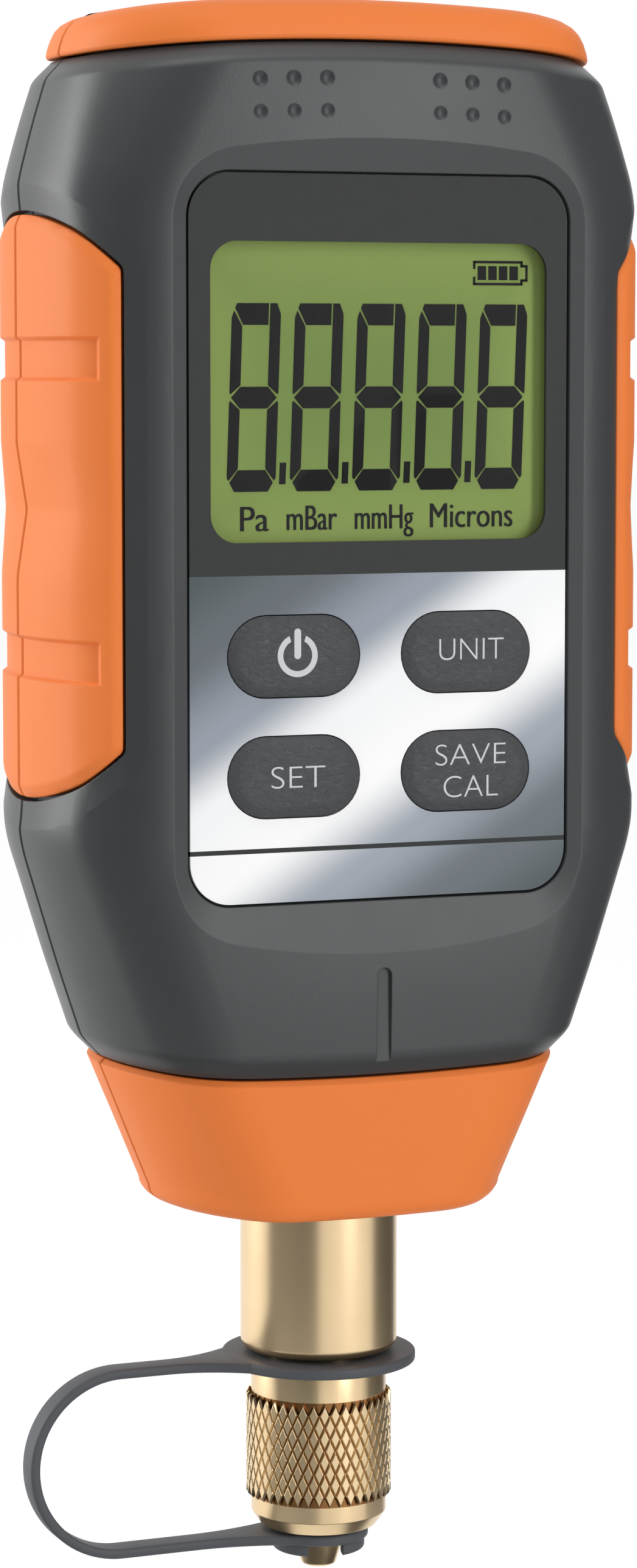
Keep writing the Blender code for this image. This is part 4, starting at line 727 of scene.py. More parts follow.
def sideStrip(hand, grow, rows, steps=(8, 18, 4)):
    # open surface of the waist under one grip, trimmed to the outline
    half = quarter(waist(), 0.0, steps)[:-1]
    strip = [(hand * x, -y) for x, y in reversed(half[1:])] + [(hand * x, y) for x, y in half]
    bm = bmesh.new()
    heights = [grip["low"] - 9 + (grip["high"] - grip["low"] + 18) * step / rows for step in range(rows + 1)]
    loft(bm, [[(x, y, z) for x, y in strip] for z in heights])
    for plane in outlinePlanes(grow):
        scoreAlong(bm, *sided(plane, hand), clearOuter=True)
    bmesh.ops.recalc_face_normals(bm, faces=bm.faces)
    if sum(face.normal.x for face in bm.faces) * hand < 0:
        bmesh.ops.reverse_faces(bm, faces=bm.faces)
    return bm


def walled(bm, inward, outward=0.0):
    # closes an open skin of the waist into a wall, and gives back the outer and inner corners
    outer = list(bm.verts)
    made = bmesh.ops.extrude_face_region(bm, geom=list(bm.faces), use_keep_orig=True)["geom"]
    for verts, shift in ((vertsOf(made), -inward), (outer, outward)):
        for vert in verts:
            vert.co += outwardAt(vert.co) * shift
    bmesh.ops.recalc_face_normals(bm, faces=bm.faces)
    return outer


def gripPocket(hand):
    bm = sideStrip(hand, grip["pocketGap"], 4)
    walled(bm, grip["thick"] + grip["pocketGap"], 2.0)
    return bm


def gripDrop(point):
    # how far the grip's face lies below the waist: pinch, bevelled rim and slots
    up = abs(point.z - grip["pinch"])
    rounded = up if up > 0.5 else 0.25 + up * up
    drop = grip["pinchDepth"] * max(0.0, 1 - rounded / grip["pinchHalf"])
    drop *= max(0.0, math.cos(math.pi / 2 * min(abs(point.y) / grip["pinchReach"], 1.0)))
    rim = insideOutline(point, outlinePlanes(0.0))
    drop += grip["bevelDrop"] * ramp(grip["bevel"] - rim, grip["bevel"], 0.15)
    if rim < 0.11:
        drop += 0.08
    drop += max(0.0, housing["seam"] + housing["lip"] - abs(point.y))
    for z in grip["slots"]:
        across = min(grip["slotHeight"] / 2 - abs(point.z - z), grip["slotReach"] - abs(point.y))
        share = min(max(across / grip["slotWall"], 0.0), 1.0)
        drop += grip["slotDepth"] * share * share * (3 - 2 * share)
    return drop


def gripHalf(node, hand, side):
    bm = sideStrip(hand, 0.0, 80)
    scoreAlong(bm, (0, side * housing["seam"], 0), (0, -side, 0), clearOuter=True)
    scoreAlong(bm, (0, side * (housing["seam"] + housing["lip"]), 0), (0, -side, 0))
    for grow in (-grip["bevel"] - 0.15, -grip["bevel"], -grip["bevel"] + 0.15, -0.12):
        for plane in outlinePlanes(grow):
            scoreAlong(bm, *sided(plane, hand))
    half, wall = grip["slotHeight"] / 2, grip["slotWall"]
    for z in grip["slots"]:
        for edge in (half + 0.1, half, half - wall / 2, half - wall, half - wall - 0.1):
            for way in (-1, 1):
                scoreAlong(bm, (0, 0, z + way * edge), (0, 0, 1))
    for reach in (0.1, 0.0, -wall / 2, -wall, -wall - 0.1):
        scoreAlong(bm, (0, side * (grip["slotReach"] + reach), 0), (0, 1, 0))
    for lift in (-0.5, 0.0, 0.5):
        scoreAlong(bm, (0, 0, grip["pinch"] + lift), (0, 0, 1))
    bmesh.ops.remove_doubles(bm, verts=bm.verts, dist=0.01)
    for vert in walled(bm, grip["thick"]):
        vert.co -= outwardAt(vert.co) * gripDrop(vert.co)
    for vert in bm.verts:
        vert.co.y = side * max(side * vert.co.y, housing["seam"])
    parts = node.split("_")
    piece = solid("grip" + parts[1].title() + parts[2].title(), bm)
    return finished(piece, "housing", finishes["orange"], [node], 28)


for sideName, side in (("front", -1), ("rear", 1)):
    gripHalf("grip_left_" + sideName, -1, side)
    gripHalf("grip_right_" + sideName, 1, side)
print("grips made")

# covers
face = {
    "panelHalf": 21.4, "panelLow": 71.85, "panelHigh": 147.5, "panelCorner": 4.5, "panelY": 17.4,
    "panelThick": 0.5, "panelGap": 0.15, "keyGap": 0.12,
    "recessY": 17.55, "rise": 1.05, "floor": 16.6,
    "windowHalf": 19.03, "windowLow": 109.5, "windowHigh": 140.6, "windowCorner": 3.0,
    "keys": (("key_power", -9.8, 97.65), ("key_mode", 9.8, 97.65), ("key_hold", -9.8, 85.03), ("key_zero", 9.8, 85.03)),
    "keyLength": 14.75, "keyHeight": 8.5,
    "dimples": ((157.45, 0.36), (154.1, 0.16)), "dimpleX": (6.36, 10.06, 13.75), "dimpleR": 0.75, "dimpleDepth": 0.26,
}
screws = ((-20.5, 152.0), (20.5, 152.0), (-18.0, 59.5), (18.0, 59.5))


def windowOutline(grow):
    return roundedOutline(face["windowHalf"] + grow, face["windowLow"] - grow, face["windowHigh"] + grow,
                          face["windowCorner"] + grow)


def panelOutline(grow):
    return roundedOutline(face["panelHalf"] + grow, face["panelLow"] - grow, face["panelHigh"] + grow,
                          face["panelCorner"] + grow)


def keyHoles(front, back):
    grow = face["keyGap"]
    return gathered(*(prism(stadium(x, z, face["keyLength"] + 2 * grow, face["keyHeight"] + 2 * grow), front, back)
                      for _, x, z in face["keys"]))


def recess():
    # dished from the cover's face down to the panel's edge
    rings = []
    for share in (1.12, 1.0, 0.75, 0.5, 0.25, 0.0):
        outline = roundedOutline(21.7 + 4.95 * share, 71.55 - 5.0 * share, 147.8 + 4.2 * share, 4.8 + 5.5 * share)
        rings.append((-face["recessY"] - face["rise"] * share, outline))
    rings.append((-face["floor"], panelOutline(face["panelGap"])))
    return stacked(rings)


def dimples():
    radius, depth = face["dimpleR"], face["dimpleDepth"]
    ball = (radius ** 2 + depth ** 2) / (2 * depth)
    cups = []
    for z, fall in face["dimples"]:
        for x in face["dimpleX"]:
            for hand in (-1, 1):
                skin = housing["halfDepth"] - x * x / (2 * housing["crown"]) - fall
                cup = bmesh.new()
                bmesh.ops.create_uvsphere(cup, u_segments=28, v_segments=20, radius=ball)
                bmesh.ops.translate(cup, vec=(hand * x, -(skin + ball - depth), z - x * x / 576), verts=cup.verts)
                cups.append(cup)
    return gathered(*cups)


def groove():
    outline = arc(0, 63.7, 0.8, 0, 180, 16) + [(-0.8, 50.0), (0.8, 50.0)]
    return prism(outline, -22.0, -18.2)


def hollow():
    # space inside the covers
    sections = [moved(section, -4.0, -4.2) for section in shellSections()[2:-1]]
    sections[-1]["z"] = 159.0
    nose = noseSections()
    return wholeForm([moved(nose[0], -2.0, z=43.9), moved(nose[-1], -2.0)] + sections)


def neckHole():
    return rod(7.3, (0, 0, 38.0), (0, 0, 46.0), 64)


def coverBlank(name, side):
    bm = halfForm(noseSections() + spread(softened(shellSections())) + plinthSections(), side, lip=housing["lip"])
    pressBands(bm)
    return cut(solid(name, bm), hollow(), gripPocket(-1), gripPocket(1), neckHole())


frontCover = coverBlank("frontCover", -1)
cut(frontCover, prism(windowOutline(1.8), -face["panelY"], -15.3), prism(windowOutline(0.5), -face["panelY"], -12.0),
    keyHoles(-face["panelY"], -12.0), recess(), dimples(), groove())
finished(frontCover, "housing", finishes["charcoal"], ["front_cover"], 10)
print("front cover made")

door = {"half": 16.75, "low": 64.2, "high": 130.8, "ledge": 15.975, "gap": 0.3, "screwZ": 67.4, "head": 2.3}


def doorBox(grow, front):
    return brick((-door["half"] - grow, front, door["low"] - grow), (door["half"] + grow, 21.0, door["high"] + grow))


rearCover = coverBlank("rearCover", 1)
cellBay = ((-14.95, 1.175, 72.0), (14.95, 21.0, 129.0))
screwHoles = ((2.9, 15.5, 21.5, 40), (1.6, 10.0, 16.0, 24))  # radius, front, back, segments
cut(rearCover, brick(*cellBay), doorBox(door["gap"], door["ledge"]),
    *(gathered(*(rod(radius, (x, front, z), (x, back, z), segments) for x, z in screws))
      for radius, front, back, segments in screwHoles))
finished(rearCover, "housing", finishes["charcoal"], ["rear_cover"], 10)

doorPiece = solid("batteryDoor", halfForm(spread(softened(shellSections()[2:5]) + [shellSections()[5]]), 1))
combine(doorPiece, solid("doorForm", doorBox(0.0, door["ledge"] + door["gap"])), "INTERSECT")
cut(doorPiece, rod(door["head"] + 0.3, (0, 16.875, door["screwZ"]), (0, 21.0, door["screwZ"]), 40),
    rod(1.55, (0, 15.0, door["screwZ"]), (0, 18.0, door["screwZ"]), 24),
    # finger ridges below the upper edge
    gathered(*(prism(stadium(0, 124.5 - 2.2 * row, 16.0 - 2.4 * row, 0.9, 8), 18.25, 21.0) for row in range(4))))
finished(doorPiece, "housing", finishes["charcoal"], ["battery_door"], 10)
print("rear cover and door made")


def crossScrew(name, node, x, y, z, headR, head, shankR, length):
    # pan head with a cross recess, its shank along -Y
    turns = [math.radians(angle) for angle in range(15, 91, 15)]
    dome = [(headR * math.sin(turn) ** 0.8, head * (0.55 + 0.45 * math.cos(turn))) for turn in turns]
    shank = [(headR, 0.0), (shankR, 0.0), (shankR, shankR - length), (0.0, -length)]
    bm = turned([(0.0, head)] + dome + shank, 40)
    bmesh.ops.rotate(bm, cent=(0, 0, 0), matrix=Matrix.Rotation(math.radians(-90), 3, "X"), verts=bm.verts)
    bmesh.ops.translate(bm, vec=(x, y, z), verts=bm.verts)
    arm, width = headR * 0.62, headR * 0.17
    low, high = y + head * 0.35, y + head * 1.5
    piece = cut(solid(name, bm), brick((x - arm, low, z - width), (x + arm, high, z + width)),
                brick((x - width, low, z - arm), (x + width, high, z + arm)))
    return finished(piece, "housing", finishes["steel"], [node], 35)


for number, (x, z) in enumerate(screws, 1):
    crossScrew("caseScrew%d" % number, "case_screw_%d" % number, x, 15.8, z, 2.6, 1.8, 1.3, 20.0)
crossScrew("doorScrew", "battery_door_screw", 0.0, 17.175, door["screwZ"], door["head"], 1.0, 1.25, 8.0)

# tongue that closes the parting line, in black plastic as a painted shade that darkens the seam
tongue = {"inset": 2.75, "wide": 1.05, "half": 0.165}


def mirrored(points):
    return points + [(-x, z) for x, z in reversed(points)]


def seamRows(inset, ends):
    # half widths of the parting plane, well inside the skin
    rows = [(section["z"], section["width"] - 0.6 - inset) for section in noseSections()[1:]]
    rows += [(section["z"], section["width"] - tongue["inset"] - inset) for section in shellSections()[1:-1]]
    low, high = rows[0], rows[-1]
    rows[0] = (low[0] + ends, low[1])
    rows[-1] = (high[0] - ends, high[1])
    return mirrored([(x, z) for z, x in rows])


seamShadePiece = solid("seamShadeTongue", prism(seamRows(0.0, 0.0), -tongue["half"], tongue["half"]))
cut(seamShadePiece, prism(seamRows(tongue["wide"], tongue["wide"]), -1.0, 1.0), brick((-7.4, -1, 38), (7.4, 1, 46)))
capSide = [(27.2, 158.4), (28.2, 162.4), (27.8, 163.6), (26.0, 164.6), (22.0, 165.2)]
join(seamShadePiece, prism(mirrored(capSide), -tongue["half"], tongue["half"]))
# black plastic here is painted shade in the seam, not the covers' own colour
finished(seamShadePiece, "housing", finishes["blackPlastic"])

# bumpers and boots
for sideName, side in (("front", -1), ("rear", 1)):
    root, top = plinthSections(0.3)
    piece = solid("topBumper" + sideName.title(), halfForm(bumperSections(), side, lip=housing["lip"]))
    cut(piece, wholeForm([moved(root, 0.0, z=159.0), top]))
    finished(piece, "housing", finishes["orange"], ["top_bumper_" + sideName], 24)

    piece = solid("boot" + sideName.title(), halfForm(bootSections(), side, lip=housing["lip"]))
    collar = turned([(0.0, 36.35), (9.45, 36.35), (9.65, 36.42), (9.73, 36.6), (9.73, 38.5), (0.0, 38.5)], 96)
    scoreAlong(collar, (0, side * housing["seam"], 0), (0, -side, 0), clearOuter=True)
    join(piece, sealed(collar))
    nose = noseSections(0.3)
    cut(piece, wholeForm(nose + [moved(nose[-1], 0.0, z=55.0)]), rod(8.93, (0, 0, 34.0), (0, 0, 44.0), 96))
    finished(piece, "housing", finishes["orange"], ["boot_" + sideName], 24)
print("bumpers and boots made")

# face panel, display and keys
panel = solid("facePanel", prism(panelOutline(0.0), -face["panelY"], face["panelThick"] - face["panelY"]))
cut(panel, prism(windowOutline(0.0), -20.0, -15.0), keyHoles(-20.0, -15.0))
finished(panel, "housing", finishes["film"], ["face_panel"], 30)

sheet = solid("displaySheet", prism(windowOutline(1.3), -15.56, -15.36))
finished(sheet, "housing", finishes["display"])

digits = {
    "left": -16.62, "pitch": 7.036, "bottom": 114.75, "height": 19.5, "width": 5.45, "slant": 0.7,
    "upright": 1.2, "bar": 2.25, "gap": 0.16, "count": 5, "chamfer": 0.55,
}
inkFront, inkBack = -15.60, -15.565


def flatPieces(outlines):
    # thin printed shapes behind the pane
    return gathered(*(prism(outline, inkFront, inkBack) for outline in outlines))


def segmentOutlines(left):
    # the seven strokes of one figure, upright, from its lower left corner
    d = digits
    w, h, u, b, g, c = d["width"], d["height"], d["upright"], d["bar"], d["gap"], d["chamfer"]
    mid, half = h / 2, b / 2
    top = [(0.55, h), (w - u - g, h), (w - u - g, h - b), (u + g / 2, h - b), (0.35, h - 0.5)]
    upperRight = [(w - u, h), (w - 0.45, h), (w, h - 1.1), (w, mid + 0.5), (w - 0.12, mid + 0.34),
                  (w - u, mid + half + g)]
    upperLeft = [(0.25, h - 0.75), (u, h - b - g), (u, mid + half + g), (0.12, mid + 0.34), (0.0, mid + 0.5),
                 (0.0, h - 1.5)]
    middle = [(c / 3, mid), (u, mid + half), (w - u, mid + half), (w - c / 3, mid), (w - u, mid - half),
              (u, mid - half)]
    lowerLeft = [(0.12, mid - 0.34), (u, mid - half - g), (u, b + g), (0.2, 1.15), (0.0, 1.4), (0.0, mid - 0.5)]
    lowerRight = [(w - 0.12, mid - 0.34), (w, mid - 0.5), (w, 1.4), (w - 0.2, 1.15), (w - u, b + g),
                  (w - u, mid - half - g)]
    bottom = [(0.3, 0.95), (u, b), (w - u, b), (w - 0.3, 0.95), (w - 0.85, 0.0), (0.85, 0.0)]
    return [[(left + x + d["slant"] * z / h, d["bottom"] + z) for x, z in outline]
            for outline in (top, upperRight, upperLeft, middle, lowerLeft, lowerRight, bottom)]


outlines = []
for number in range(digits["count"]):
    left = digits["left"] + number * digits["pitch"]
    outlines += segmentOutlines(left)
    if number < digits["count"] - 1:
        point = left + digits["width"] + 0.42
        outlines.append([(point, 115.5), (point + 0.72, 115.5), (point + 0.82, 117.75), (point + 0.1, 117.75)])
# battery mark: four bars in an outline with a nub
outlines += [[(x, 136.8), (x + 0.98, 136.8), (x + 0.98, 138.27), (x, 138.27)] for x in (11.84, 13.07, 14.3, 15.53)]
line = 0.27
for x, low, wide, high in ((11.31, 136.25, 5.76, 136.25 + line), (11.31, 138.55, 5.76, 138.55 + line),
                           (11.31, 136.25, line, 137.15), (11.31, 137.95, line, 138.82),
                           (16.8, 136.25, line, 136.87), (16.8, 138.2, line, 138.82),
                           (16.8, 136.65, 0.85, 136.65 + line), (16.8, 138.15, 0.85, 138.15 + line),
                           (17.38, 136.65, line, 138.42)):
    outlines.append([(x, low), (x + wide, low), (x + wide, high), (x, high)])
finished(solid("displayFigures", flatPieces(outlines)), "housing", finishes["ink"], smooth=20)


def lettering(name, words, body, material, front, thick, bold=0.0):
    # plain words as thin printed shapes: text, middle, baseline, height of a capital, width, weight
    forms = []
    for text, centre, baseline, capital, width, weight in words:
        curve = bpy.data.curves.new(name, "FONT")
        curve.body = text
        curve.align_x = "CENTER"
        curve.size = capital / 0.729
        curve.offset = weight
        curve.extrude = thick / 2
        shape = bpy.data.objects.new(name, curve)
        bpy.context.scene.collection.objects.link(shape)
        mesh = bpy.data.meshes.new_from_object(shape.evaluated_get(bpy.context.evaluated_depsgraph_get()))
        bpy.data.objects.remove(shape)
        bm = bmesh.new()
        bm.from_mesh(mesh)
        bmesh.ops.remove_doubles(bm, verts=bm.verts, dist=1e-4)
        spanX = [vert.co.x for vert in bm.verts]
        bmesh.ops.scale(bm, vec=(width / (max(spanX) - min(spanX)), 1, 1), verts=bm.verts)
        bmesh.ops.rotate(bm, cent=(0, 0, 0), matrix=Matrix.Rotation(math.radians(90), 3, "X"), verts=bm.verts)
        spanX = [vert.co.x for vert in bm.verts]
        shift = (centre - (max(spanX) + min(spanX)) / 2, front + thick / 2, baseline)
        bmesh.ops.translate(bm, vec=shift, verts=bm.verts)
        if bold:
            twin = bm.copy()
            bmesh.ops.translate(twin, vec=(bold, 0.004, 0), verts=twin.verts)
            forms.append(twin)
        forms.append(bm)
    return finished(solid(name, gathered(*forms)), body, material, smooth=20)


unitWords = (("Pa", -13.55, 110.65, 2.75, 3.1, -0.02), ("mBar", -7.1, 110.7, 2.75, 5.6, -0.02),
             ("mmHg", 1.1, 110.7, 2.75, 6.6, -0.02), ("Microns", 11.15, 110.75, 2.75, 9.5, -0.02))
lettering("displayUnits", unitWords, "housing", finishes["ink"], inkFront, 0.03, 0.12)
print("display made")


def keyForm(cx, cz):
    # a key with a foot behind the panel and a rounded rim; rows of depth and growth
    rows = ((12.84, 0.8), (13.64, 0.8), (13.64, 0.0), (17.36, 0.0), (17.42, -0.06), (17.5, -0.14), (17.62, -0.36),
            (17.76, -0.62), (17.88, -0.86), (17.94, -1.02), (17.975, -1.25), (18.0, -1.7))
    return stacked([(-y, stadium(cx, cz, face["keyLength"] + 2 * grow, face["keyHeight"] + 2 * grow, 24))
                    for y, grow in rows])


legendFront, legendBack = -18.02, -17.88
keyBodies = {"key_power": "power_key", "key_mode": "mode_key", "key_hold": "hold_key", "key_zero": "zero_key"}
keyWords = {
    "key_mode": (("UNIT", 10.2, 96.8, 2.5, 7.45, -0.06),),
    "key_hold": (("SET", -9.58, 83.87, 2.5, 6.1, -0.06),),
    "key_zero": (("SAVE", 10.13, 85.63, 2.45, 8.2, -0.06), ("CAL", 10.17, 82.2, 2.5, 6.3, -0.06)),
}
for node, x, z in face["keys"]:
    parts = node.split("_")
    piece = solid("key" + parts[1].title(), keyForm(x, z))
    finished(piece, keyBodies[node], finishes["key"], [node], 35)
    if node in keyWords:
        lettering("legend" + parts[1].title(), keyWords[node], keyBodies[node], finishes["legend"],
                  legendFront, legendBack - legendFront)

# power mark: a ring open at the top and an upright bar with round ends
ringOuter, ringInner, ringX, ringZ = 2.25, 1.62, -9.62, 97.75
opening = 24
mark = (arc(ringX, ringZ, ringOuter, 90 + opening, 450 - opening, 48)
        + arc(ringX, ringZ, ringInner, 450 - opening - 3, 90 + opening + 3, 48))
bar = arc(ringX, 100.2, 0.38, 0, 180, 12) + arc(ringX, ringZ, 0.38, 180, 360, 12)
piece = solid("legendPower", gathered(*(prism(form, legendFront, legendBack) for form in (mark, bar))))
finished(piece, "power_key", finishes["legend"], smooth=20)
print("keys made")

# coupling
coupling = {"knurlR": 8.05, "knurlLow": 3.4, "knurlHigh": 15.1, "knurlDepth": 0.32, "columns": 84, "rows": 8}

# profiles are (radius, height)
barrelProfile = ([(3.7, 18.4), (3.7, 26.2), (1.6, 26.2), (1.6, 45.0), (5.6, 45.0), (5.6, 49.0), (8.23, 49.0),
                  (8.63, 48.6), (8.63, 44.2), (7.0, 44.2), (7.0, 41.0), (8.63, 41.0), (8.63, 21.0)]
                 + arc(7.53, 21.0, 1.1, 0, -90, 8)[1:] + [(6.1, 19.9), (6.1, 18.4)])
finished(solid("barrel", turned(barrelProfile, 128, True)), "housing", finishes["brass"], ["barrel"], 30)


def knurl():
    # flat-topped diamonds: a lattice of zigzag rings, each diamond raised on its own
    c = coupling
    base = c["knurlR"] - c["knurlDepth"]
    rise = (c["knurlHigh"] - c["knurlLow"]) / (c["rows"] + 1)
    bm = bmesh.new()
    rings = []
    for row in range(c["rows"] + 1):
        ring = []
        for column in range(c["columns"]):
            angle = 2 * math.pi * column / c["columns"]
            ring.append((base * math.cos(angle), base * math.sin(angle),
                         c["knurlLow"] + rise * (row + (column + row) % 2)))
        rings.append(ring)
    ends = loft(bm, rings, True)
    for edges, height in zip(ends, (c["knurlLow"] + 1.0, c["knurlHigh"] - 1.0)):
        for vert in vertsOf(bmesh.ops.extrude_edge_only(bm, edges=edges)["geom"]):
            vert.co = Vector((vert.co.x * 0.9, vert.co.y * 0.9, height))
    bmesh.ops.remove_doubles(bm, verts=bm.verts, dist=1e-4)
    upright = [edge for edge in bm.edges if (edge.verts[0].co - edge.verts[1].co).xy.length < 1e-3
               and edge.verts[0].co.xy.length > base - 0.01]
    bmesh.ops.dissolve_edges(bm, edges=upright)
    sealed(bm)
    diamonds = [part for part in bm.faces if len(part.verts) == 4
                and all(abs(vert.co.xy.length - base) < 1e-3 for vert in part.verts)]
    bmesh.ops.inset_individual(bm, faces=diamonds, thickness=0.13, depth=c["knurlDepth"] - 0.02, use_even_offset=True)
    return bm


nutProfile = ([(0.0, 18.0), (7.1, 18.0)] + arc(7.107, 17.65, 0.35, 90, 0, 6)
              + [(7.457, 1.6), (7.2, 1.2), (6.45, 0.12), (6.2, 0.0), (0.0, 0.0)])
boreProfile = [(0.0, 20.0), (4.15, 20.0), (4.15, 10.7), (5.25, 10.7), (5.25, 0.5), (5.7, -0.05), (7.5, -2.0),
               (0.0, -2.0)]
nut = solid("swivelNut", turned(nutProfile, 128))
join(nut, knurl())
cut(nut, turned(boreProfile, 96))
finished(nut, "nut", finishes["knurl"], ["swivel_nut"], 12)
print("barrel and nut made")

strapSizes = {
    "ringTop": 19.6, "thick": 1.2, "ringR": 10.7, "hole": 6.4, "width": 3.2, "bendX": -23.5,
    "eyeTop": -0.3, "eyeR": 5.5, "eyeHole": 2.3, "lugR": 5.1, "lugLow": -2.8, "slot": 3.9,
}


def bandSection(x, z, halfWidth, angle):
    # rounded cross-section at a point of the band; angle turns it in the upright plane
    halfThick = strapSizes["thick"] / 2 - 0.05
    return [(x - lift * math.sin(angle), across, z + lift * math.cos(angle))
            for across, lift in rounded(-halfWidth, halfWidth, -halfThick, halfThick, 0.35, 4)]


def strapBand():
    s = strapSizes
    ringZ, eyeZ = s["ringTop"] - s["thick"] / 2, s["eyeTop"] - s["thick"] / 2
    bend, half = (ringZ - eyeZ) / 2, s["width"] / 2

    def flare(x, rootX, reach, grow):
        return half + grow * max(0.0, 1 - (rootX - x) / reach) ** 2

    path = [(x, ringZ, flare(x, -9, 9, 3.4), 0.0) for x in (-8.0 - 0.9 * step for step in range(14))]
    for step in range(49):
        angle = math.radians(90 + 180 * step / 48)
        path.append((s["bendX"] + bend * math.cos(angle), (ringZ + eyeZ) / 2 + bend * math.sin(angle), half,
                     angle - math.pi / 2))
    path += [(x, eyeZ, flare(x, -3.5, 11.5, 2.5), math.pi) for x in (-20.5 + 0.9 * step for step in range(20))]
    bm = bmesh.new()
    loft(bm, [bandSection(*row) for row in path], True)
    return sealed(bm)


def washer(inner, outer, low, high, corner=0.3):
    return turned(rounded(inner, outer, low, high, corner, 5), 96, True)


s = strapSizes
strap = solid("strap", strapBand())
join(strap, rod(s["ringR"] - 1.0, (0, 0, 18.75), (0, 0, 19.25), 64),
     rod(s["eyeR"] - 0.8, (0, 0, -1.2), (0, 0, -0.6), 64))
cut(strap, rod(s["hole"] + 0.2, (0, 0, 15.0), (0, 0, 22.0), 96),
    rod(s["eyeHole"] + 0.2, (0, 0, -4.0), (0, 0, 2.0), 64))
join(strap, washer(s["hole"], s["ringR"], 18.4, 19.6), washer(s["eyeHole"], s["eyeR"], -1.5, -0.3))
lugs = solid("lugs", washer(3.5, s["lugR"], s["lugLow"], -1.3, 0.35))
slot = brick((-s["slot"] / 2, -8, -4), (s["slot"] / 2, 8, 0))
bmesh.ops.rotate(slot, cent=(0, 0, 0), matrix=Matrix.Rotation(math.radians(-12), 3, "Z"), verts=slot.verts)
cut(lugs, slot)
combine(strap, lugs, "UNION")
finished(strap, None, finishes["strap"], ["strap"], 35)
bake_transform(strap)

plugProfile = [(0.0, -4.7), (1.7, -4.7), (1.93, -4.5), (2.7, -1.95), (2.7, -1.8), (2.0, -1.8), (2.0, 0.0), (4.7, 0.0),
               (4.9, 0.2), (4.9, 1.1), (4.7, 1.3), (4.3, 1.3), (4.3, 2.6), (3.6, 2.6), (3.6, 4.3), (4.3, 4.3),
               (4.3, 5.2), (3.9, 5.6), (0.0, 5.6)]
finished(solid("plug", turned(plugProfile, 96)), "plug", finishes["brass"], ["plug"], 30)
finished(solid("plugSeal", turned(arc(4.425, 3.45, 0.55, 0, 345, 23), 96, True)), "plug",
         finishes["rubber"], ["plug_seal"], 60)
print("strap and plug made")

# stage, lights and camera
studio = {"floor": -0.06, "key": 3.4, "rim": 7.0, "side": 1.6, "top": 3.4, "world": 0.36}


def stagePiece(name, bm, material):
    obj = solid(name, bm)
    obj.data.materials.append(material)
    return obj


def plainlySeen(tree):
    # 1 for rays from the camera, from gloss and through clear pieces
    ray = tree.nodes.new("ShaderNodeLightPath").outputs
    indirect = calc(tree, "MAXIMUM", ray["Is Glossy Ray"], ray["Is Transmission Ray"])
    return calc(tree, "MAXIMUM", indirect, ray["Is Camera Ray"])


white = (1, 1, 1, 1)
floorMaterial, tree, matt = blank("studioFloor", specular=0.5, Roughness=0.9)
glow = added(tree, "Emission", {"Color": white, "Strength": 1.12})
share = calc(tree, "MULTIPLY", plainlySeen(tree), 0.8)
feed(tree, matt, {"Base Color": (0.86, 0.86, 0.86, 1)})
litFloor = added(tree, "MixShader", {0: share, 1: matt.outputs[0], 2: glow})
feed(tree, tree.nodes["Material Output"], {"Surface": litFloor})
ground = bmesh.new()
bmesh.ops.create_grid(ground, x_segments=2, y_segments=2, size=6.0)
bmesh.ops.translate(ground, vec=(0, 0, studio["floor"]), verts=ground.verts)
stagePiece("studioFloor", ground, floorMaterial)


def card(name, level, first, last, low, high):
    # a curved board, seen only in reflections; low and high are the radius and height of its edges
    bm = bmesh.new()
    turn = [math.radians(first + (last - first) * step / 16) for step in range(17)]
    loft(bm, [[(radius * math.sin(a), -radius * math.cos(a), z) for a in turn] for radius, z in (low, high)])
    material, tree, board = blank(name, specular=0.5)
    feed(tree, board, {"Base Color": (0.02, 0.02, 0.02, 1), "Emission Color": level + (1,), "Emission Strength": 1.0})
    obj = stagePiece(name, bm, material)
    obj.visible_camera = obj.visible_diffuse = obj.visible_shadow = obj.visible_transmission = False


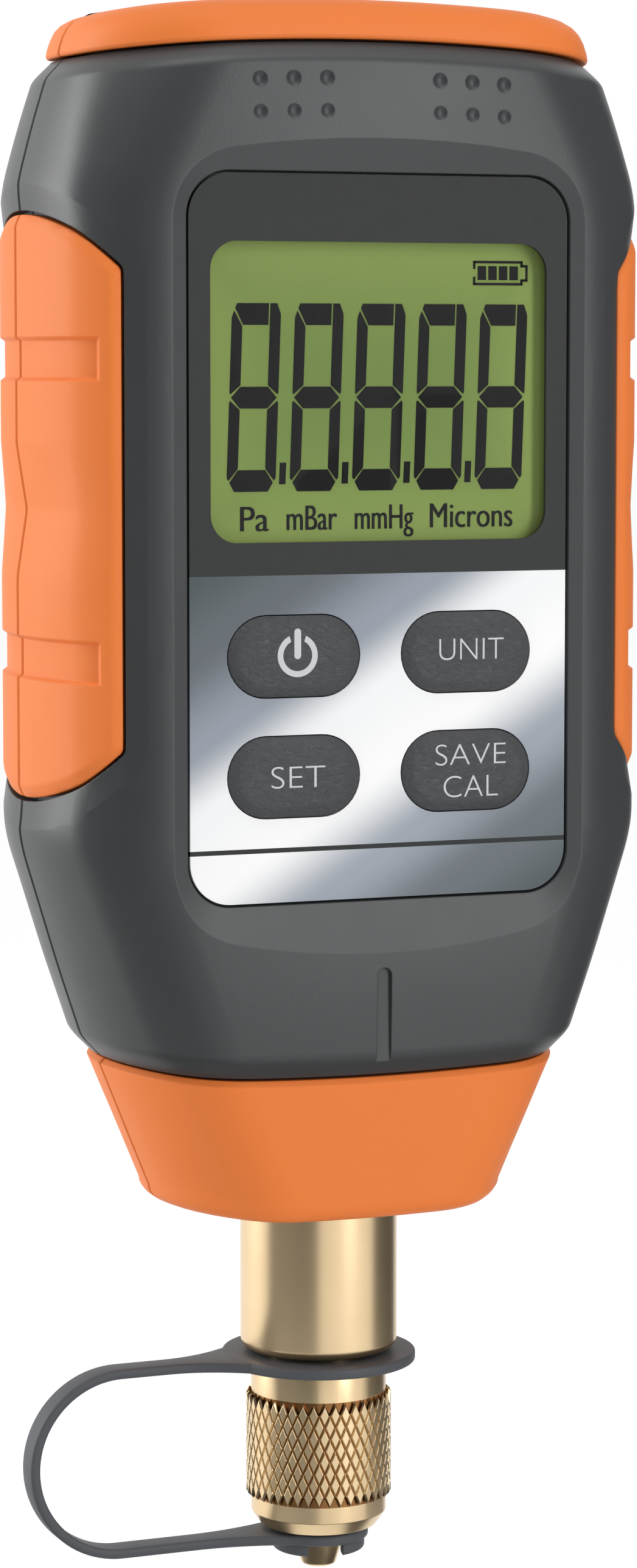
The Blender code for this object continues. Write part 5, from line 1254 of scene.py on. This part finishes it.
card("lowCardLeft", (0.15, 0.16, 0.17), -100, -22, (0.2, -0.058), (0.2, 0.03))
card("lowCardRight", (0.05, 0.055, 0.06), 64, 125, (0.2, -0.058), (0.2, 0.03))
card("highCardLeft", (0.06, 0.06, 0.07), -105, -6, (0.2, 0.032), (0.2, 0.25))
card("highCardRight", (0.06, 0.06, 0.07), 34, 125, (0.2, 0.032), (0.2, 0.25))
card("underCard", (0.03, 0.03, 0.03), -150, 110, (0.03, -0.0585), (0.15, -0.0585))
card("frontCard", (0.36, 0.36, 0.36), -40, 80, (1.4, -0.055), (1.4, 1.5))

world = bpy.data.worlds.new("studioWorld")
bpy.context.scene.world = world
world.use_nodes = True
tree = world.node_tree
softSky = tree.nodes["Background"]
feed(tree, softSky, {"Color": white, "Strength": studio["world"]})
plainSky = added(tree, "Background", {"Color": white})
sky = added(tree, "MixShader", {0: plainlySeen(tree), 1: softSky.outputs[0], 2: plainSky})
feed(tree, tree.nodes["World Output"], {"Surface": sky})


def placed(obj, place, aim):
    # puts a light or the camera in place, turned to what it looks at
    bpy.context.scene.collection.objects.link(obj)
    obj.location = place
    obj.rotation_euler = (Vector(aim) - Vector(place)).to_track_quat("-Z", "Y").to_euler()
    return obj


def areaLight(name, place, aim, size, power):
    lamp = bpy.data.lights.new(name, "AREA")
    lamp.shape, lamp.size, lamp.size_y, lamp.energy = "RECTANGLE", size[0], size[1], power
    placed(bpy.data.objects.new(name, lamp), place, aim)


areaLight("keyLight", (0.325, -0.731, 0.36), (0, 0, 0.36), (0.18, 0.8), studio["key"])
areaLight("rimLight", (-0.75, 0.55, 0.30), (0, 0, 0.09), (0.35, 1.0), studio["rim"])
areaLight("sideLight", (-1.15, -0.35, 0.25), (0, 0, 0.09), (0.4, 0.9), studio["side"])
areaLight("topLight", (-0.1, -0.25, 1.15), (0, 0, 0.1), (0.9, 0.5), studio["top"])

view = {"lens": 97.353, "sensor": 36.0, "azimuth": -22.031, "pitch": 5.661, "distance": 0.463338,
        "aim": (0.0, 0.0, 0.0823)}
cameraData = bpy.data.cameras.new("camera")
cameraData.lens, cameraData.sensor_width = view["lens"], view["sensor"]
azimuth, pitch = math.radians(view["azimuth"]), math.radians(view["pitch"])
way = Vector((math.sin(azimuth) * math.cos(pitch), -math.cos(azimuth) * math.cos(pitch), math.sin(pitch)))
bpy.context.scene.camera = placed(bpy.data.objects.new("camera", cameraData),
                                  Vector(view["aim"]) + view["distance"] * way, view["aim"])
bpy.context.scene.view_settings.view_transform = "Standard"
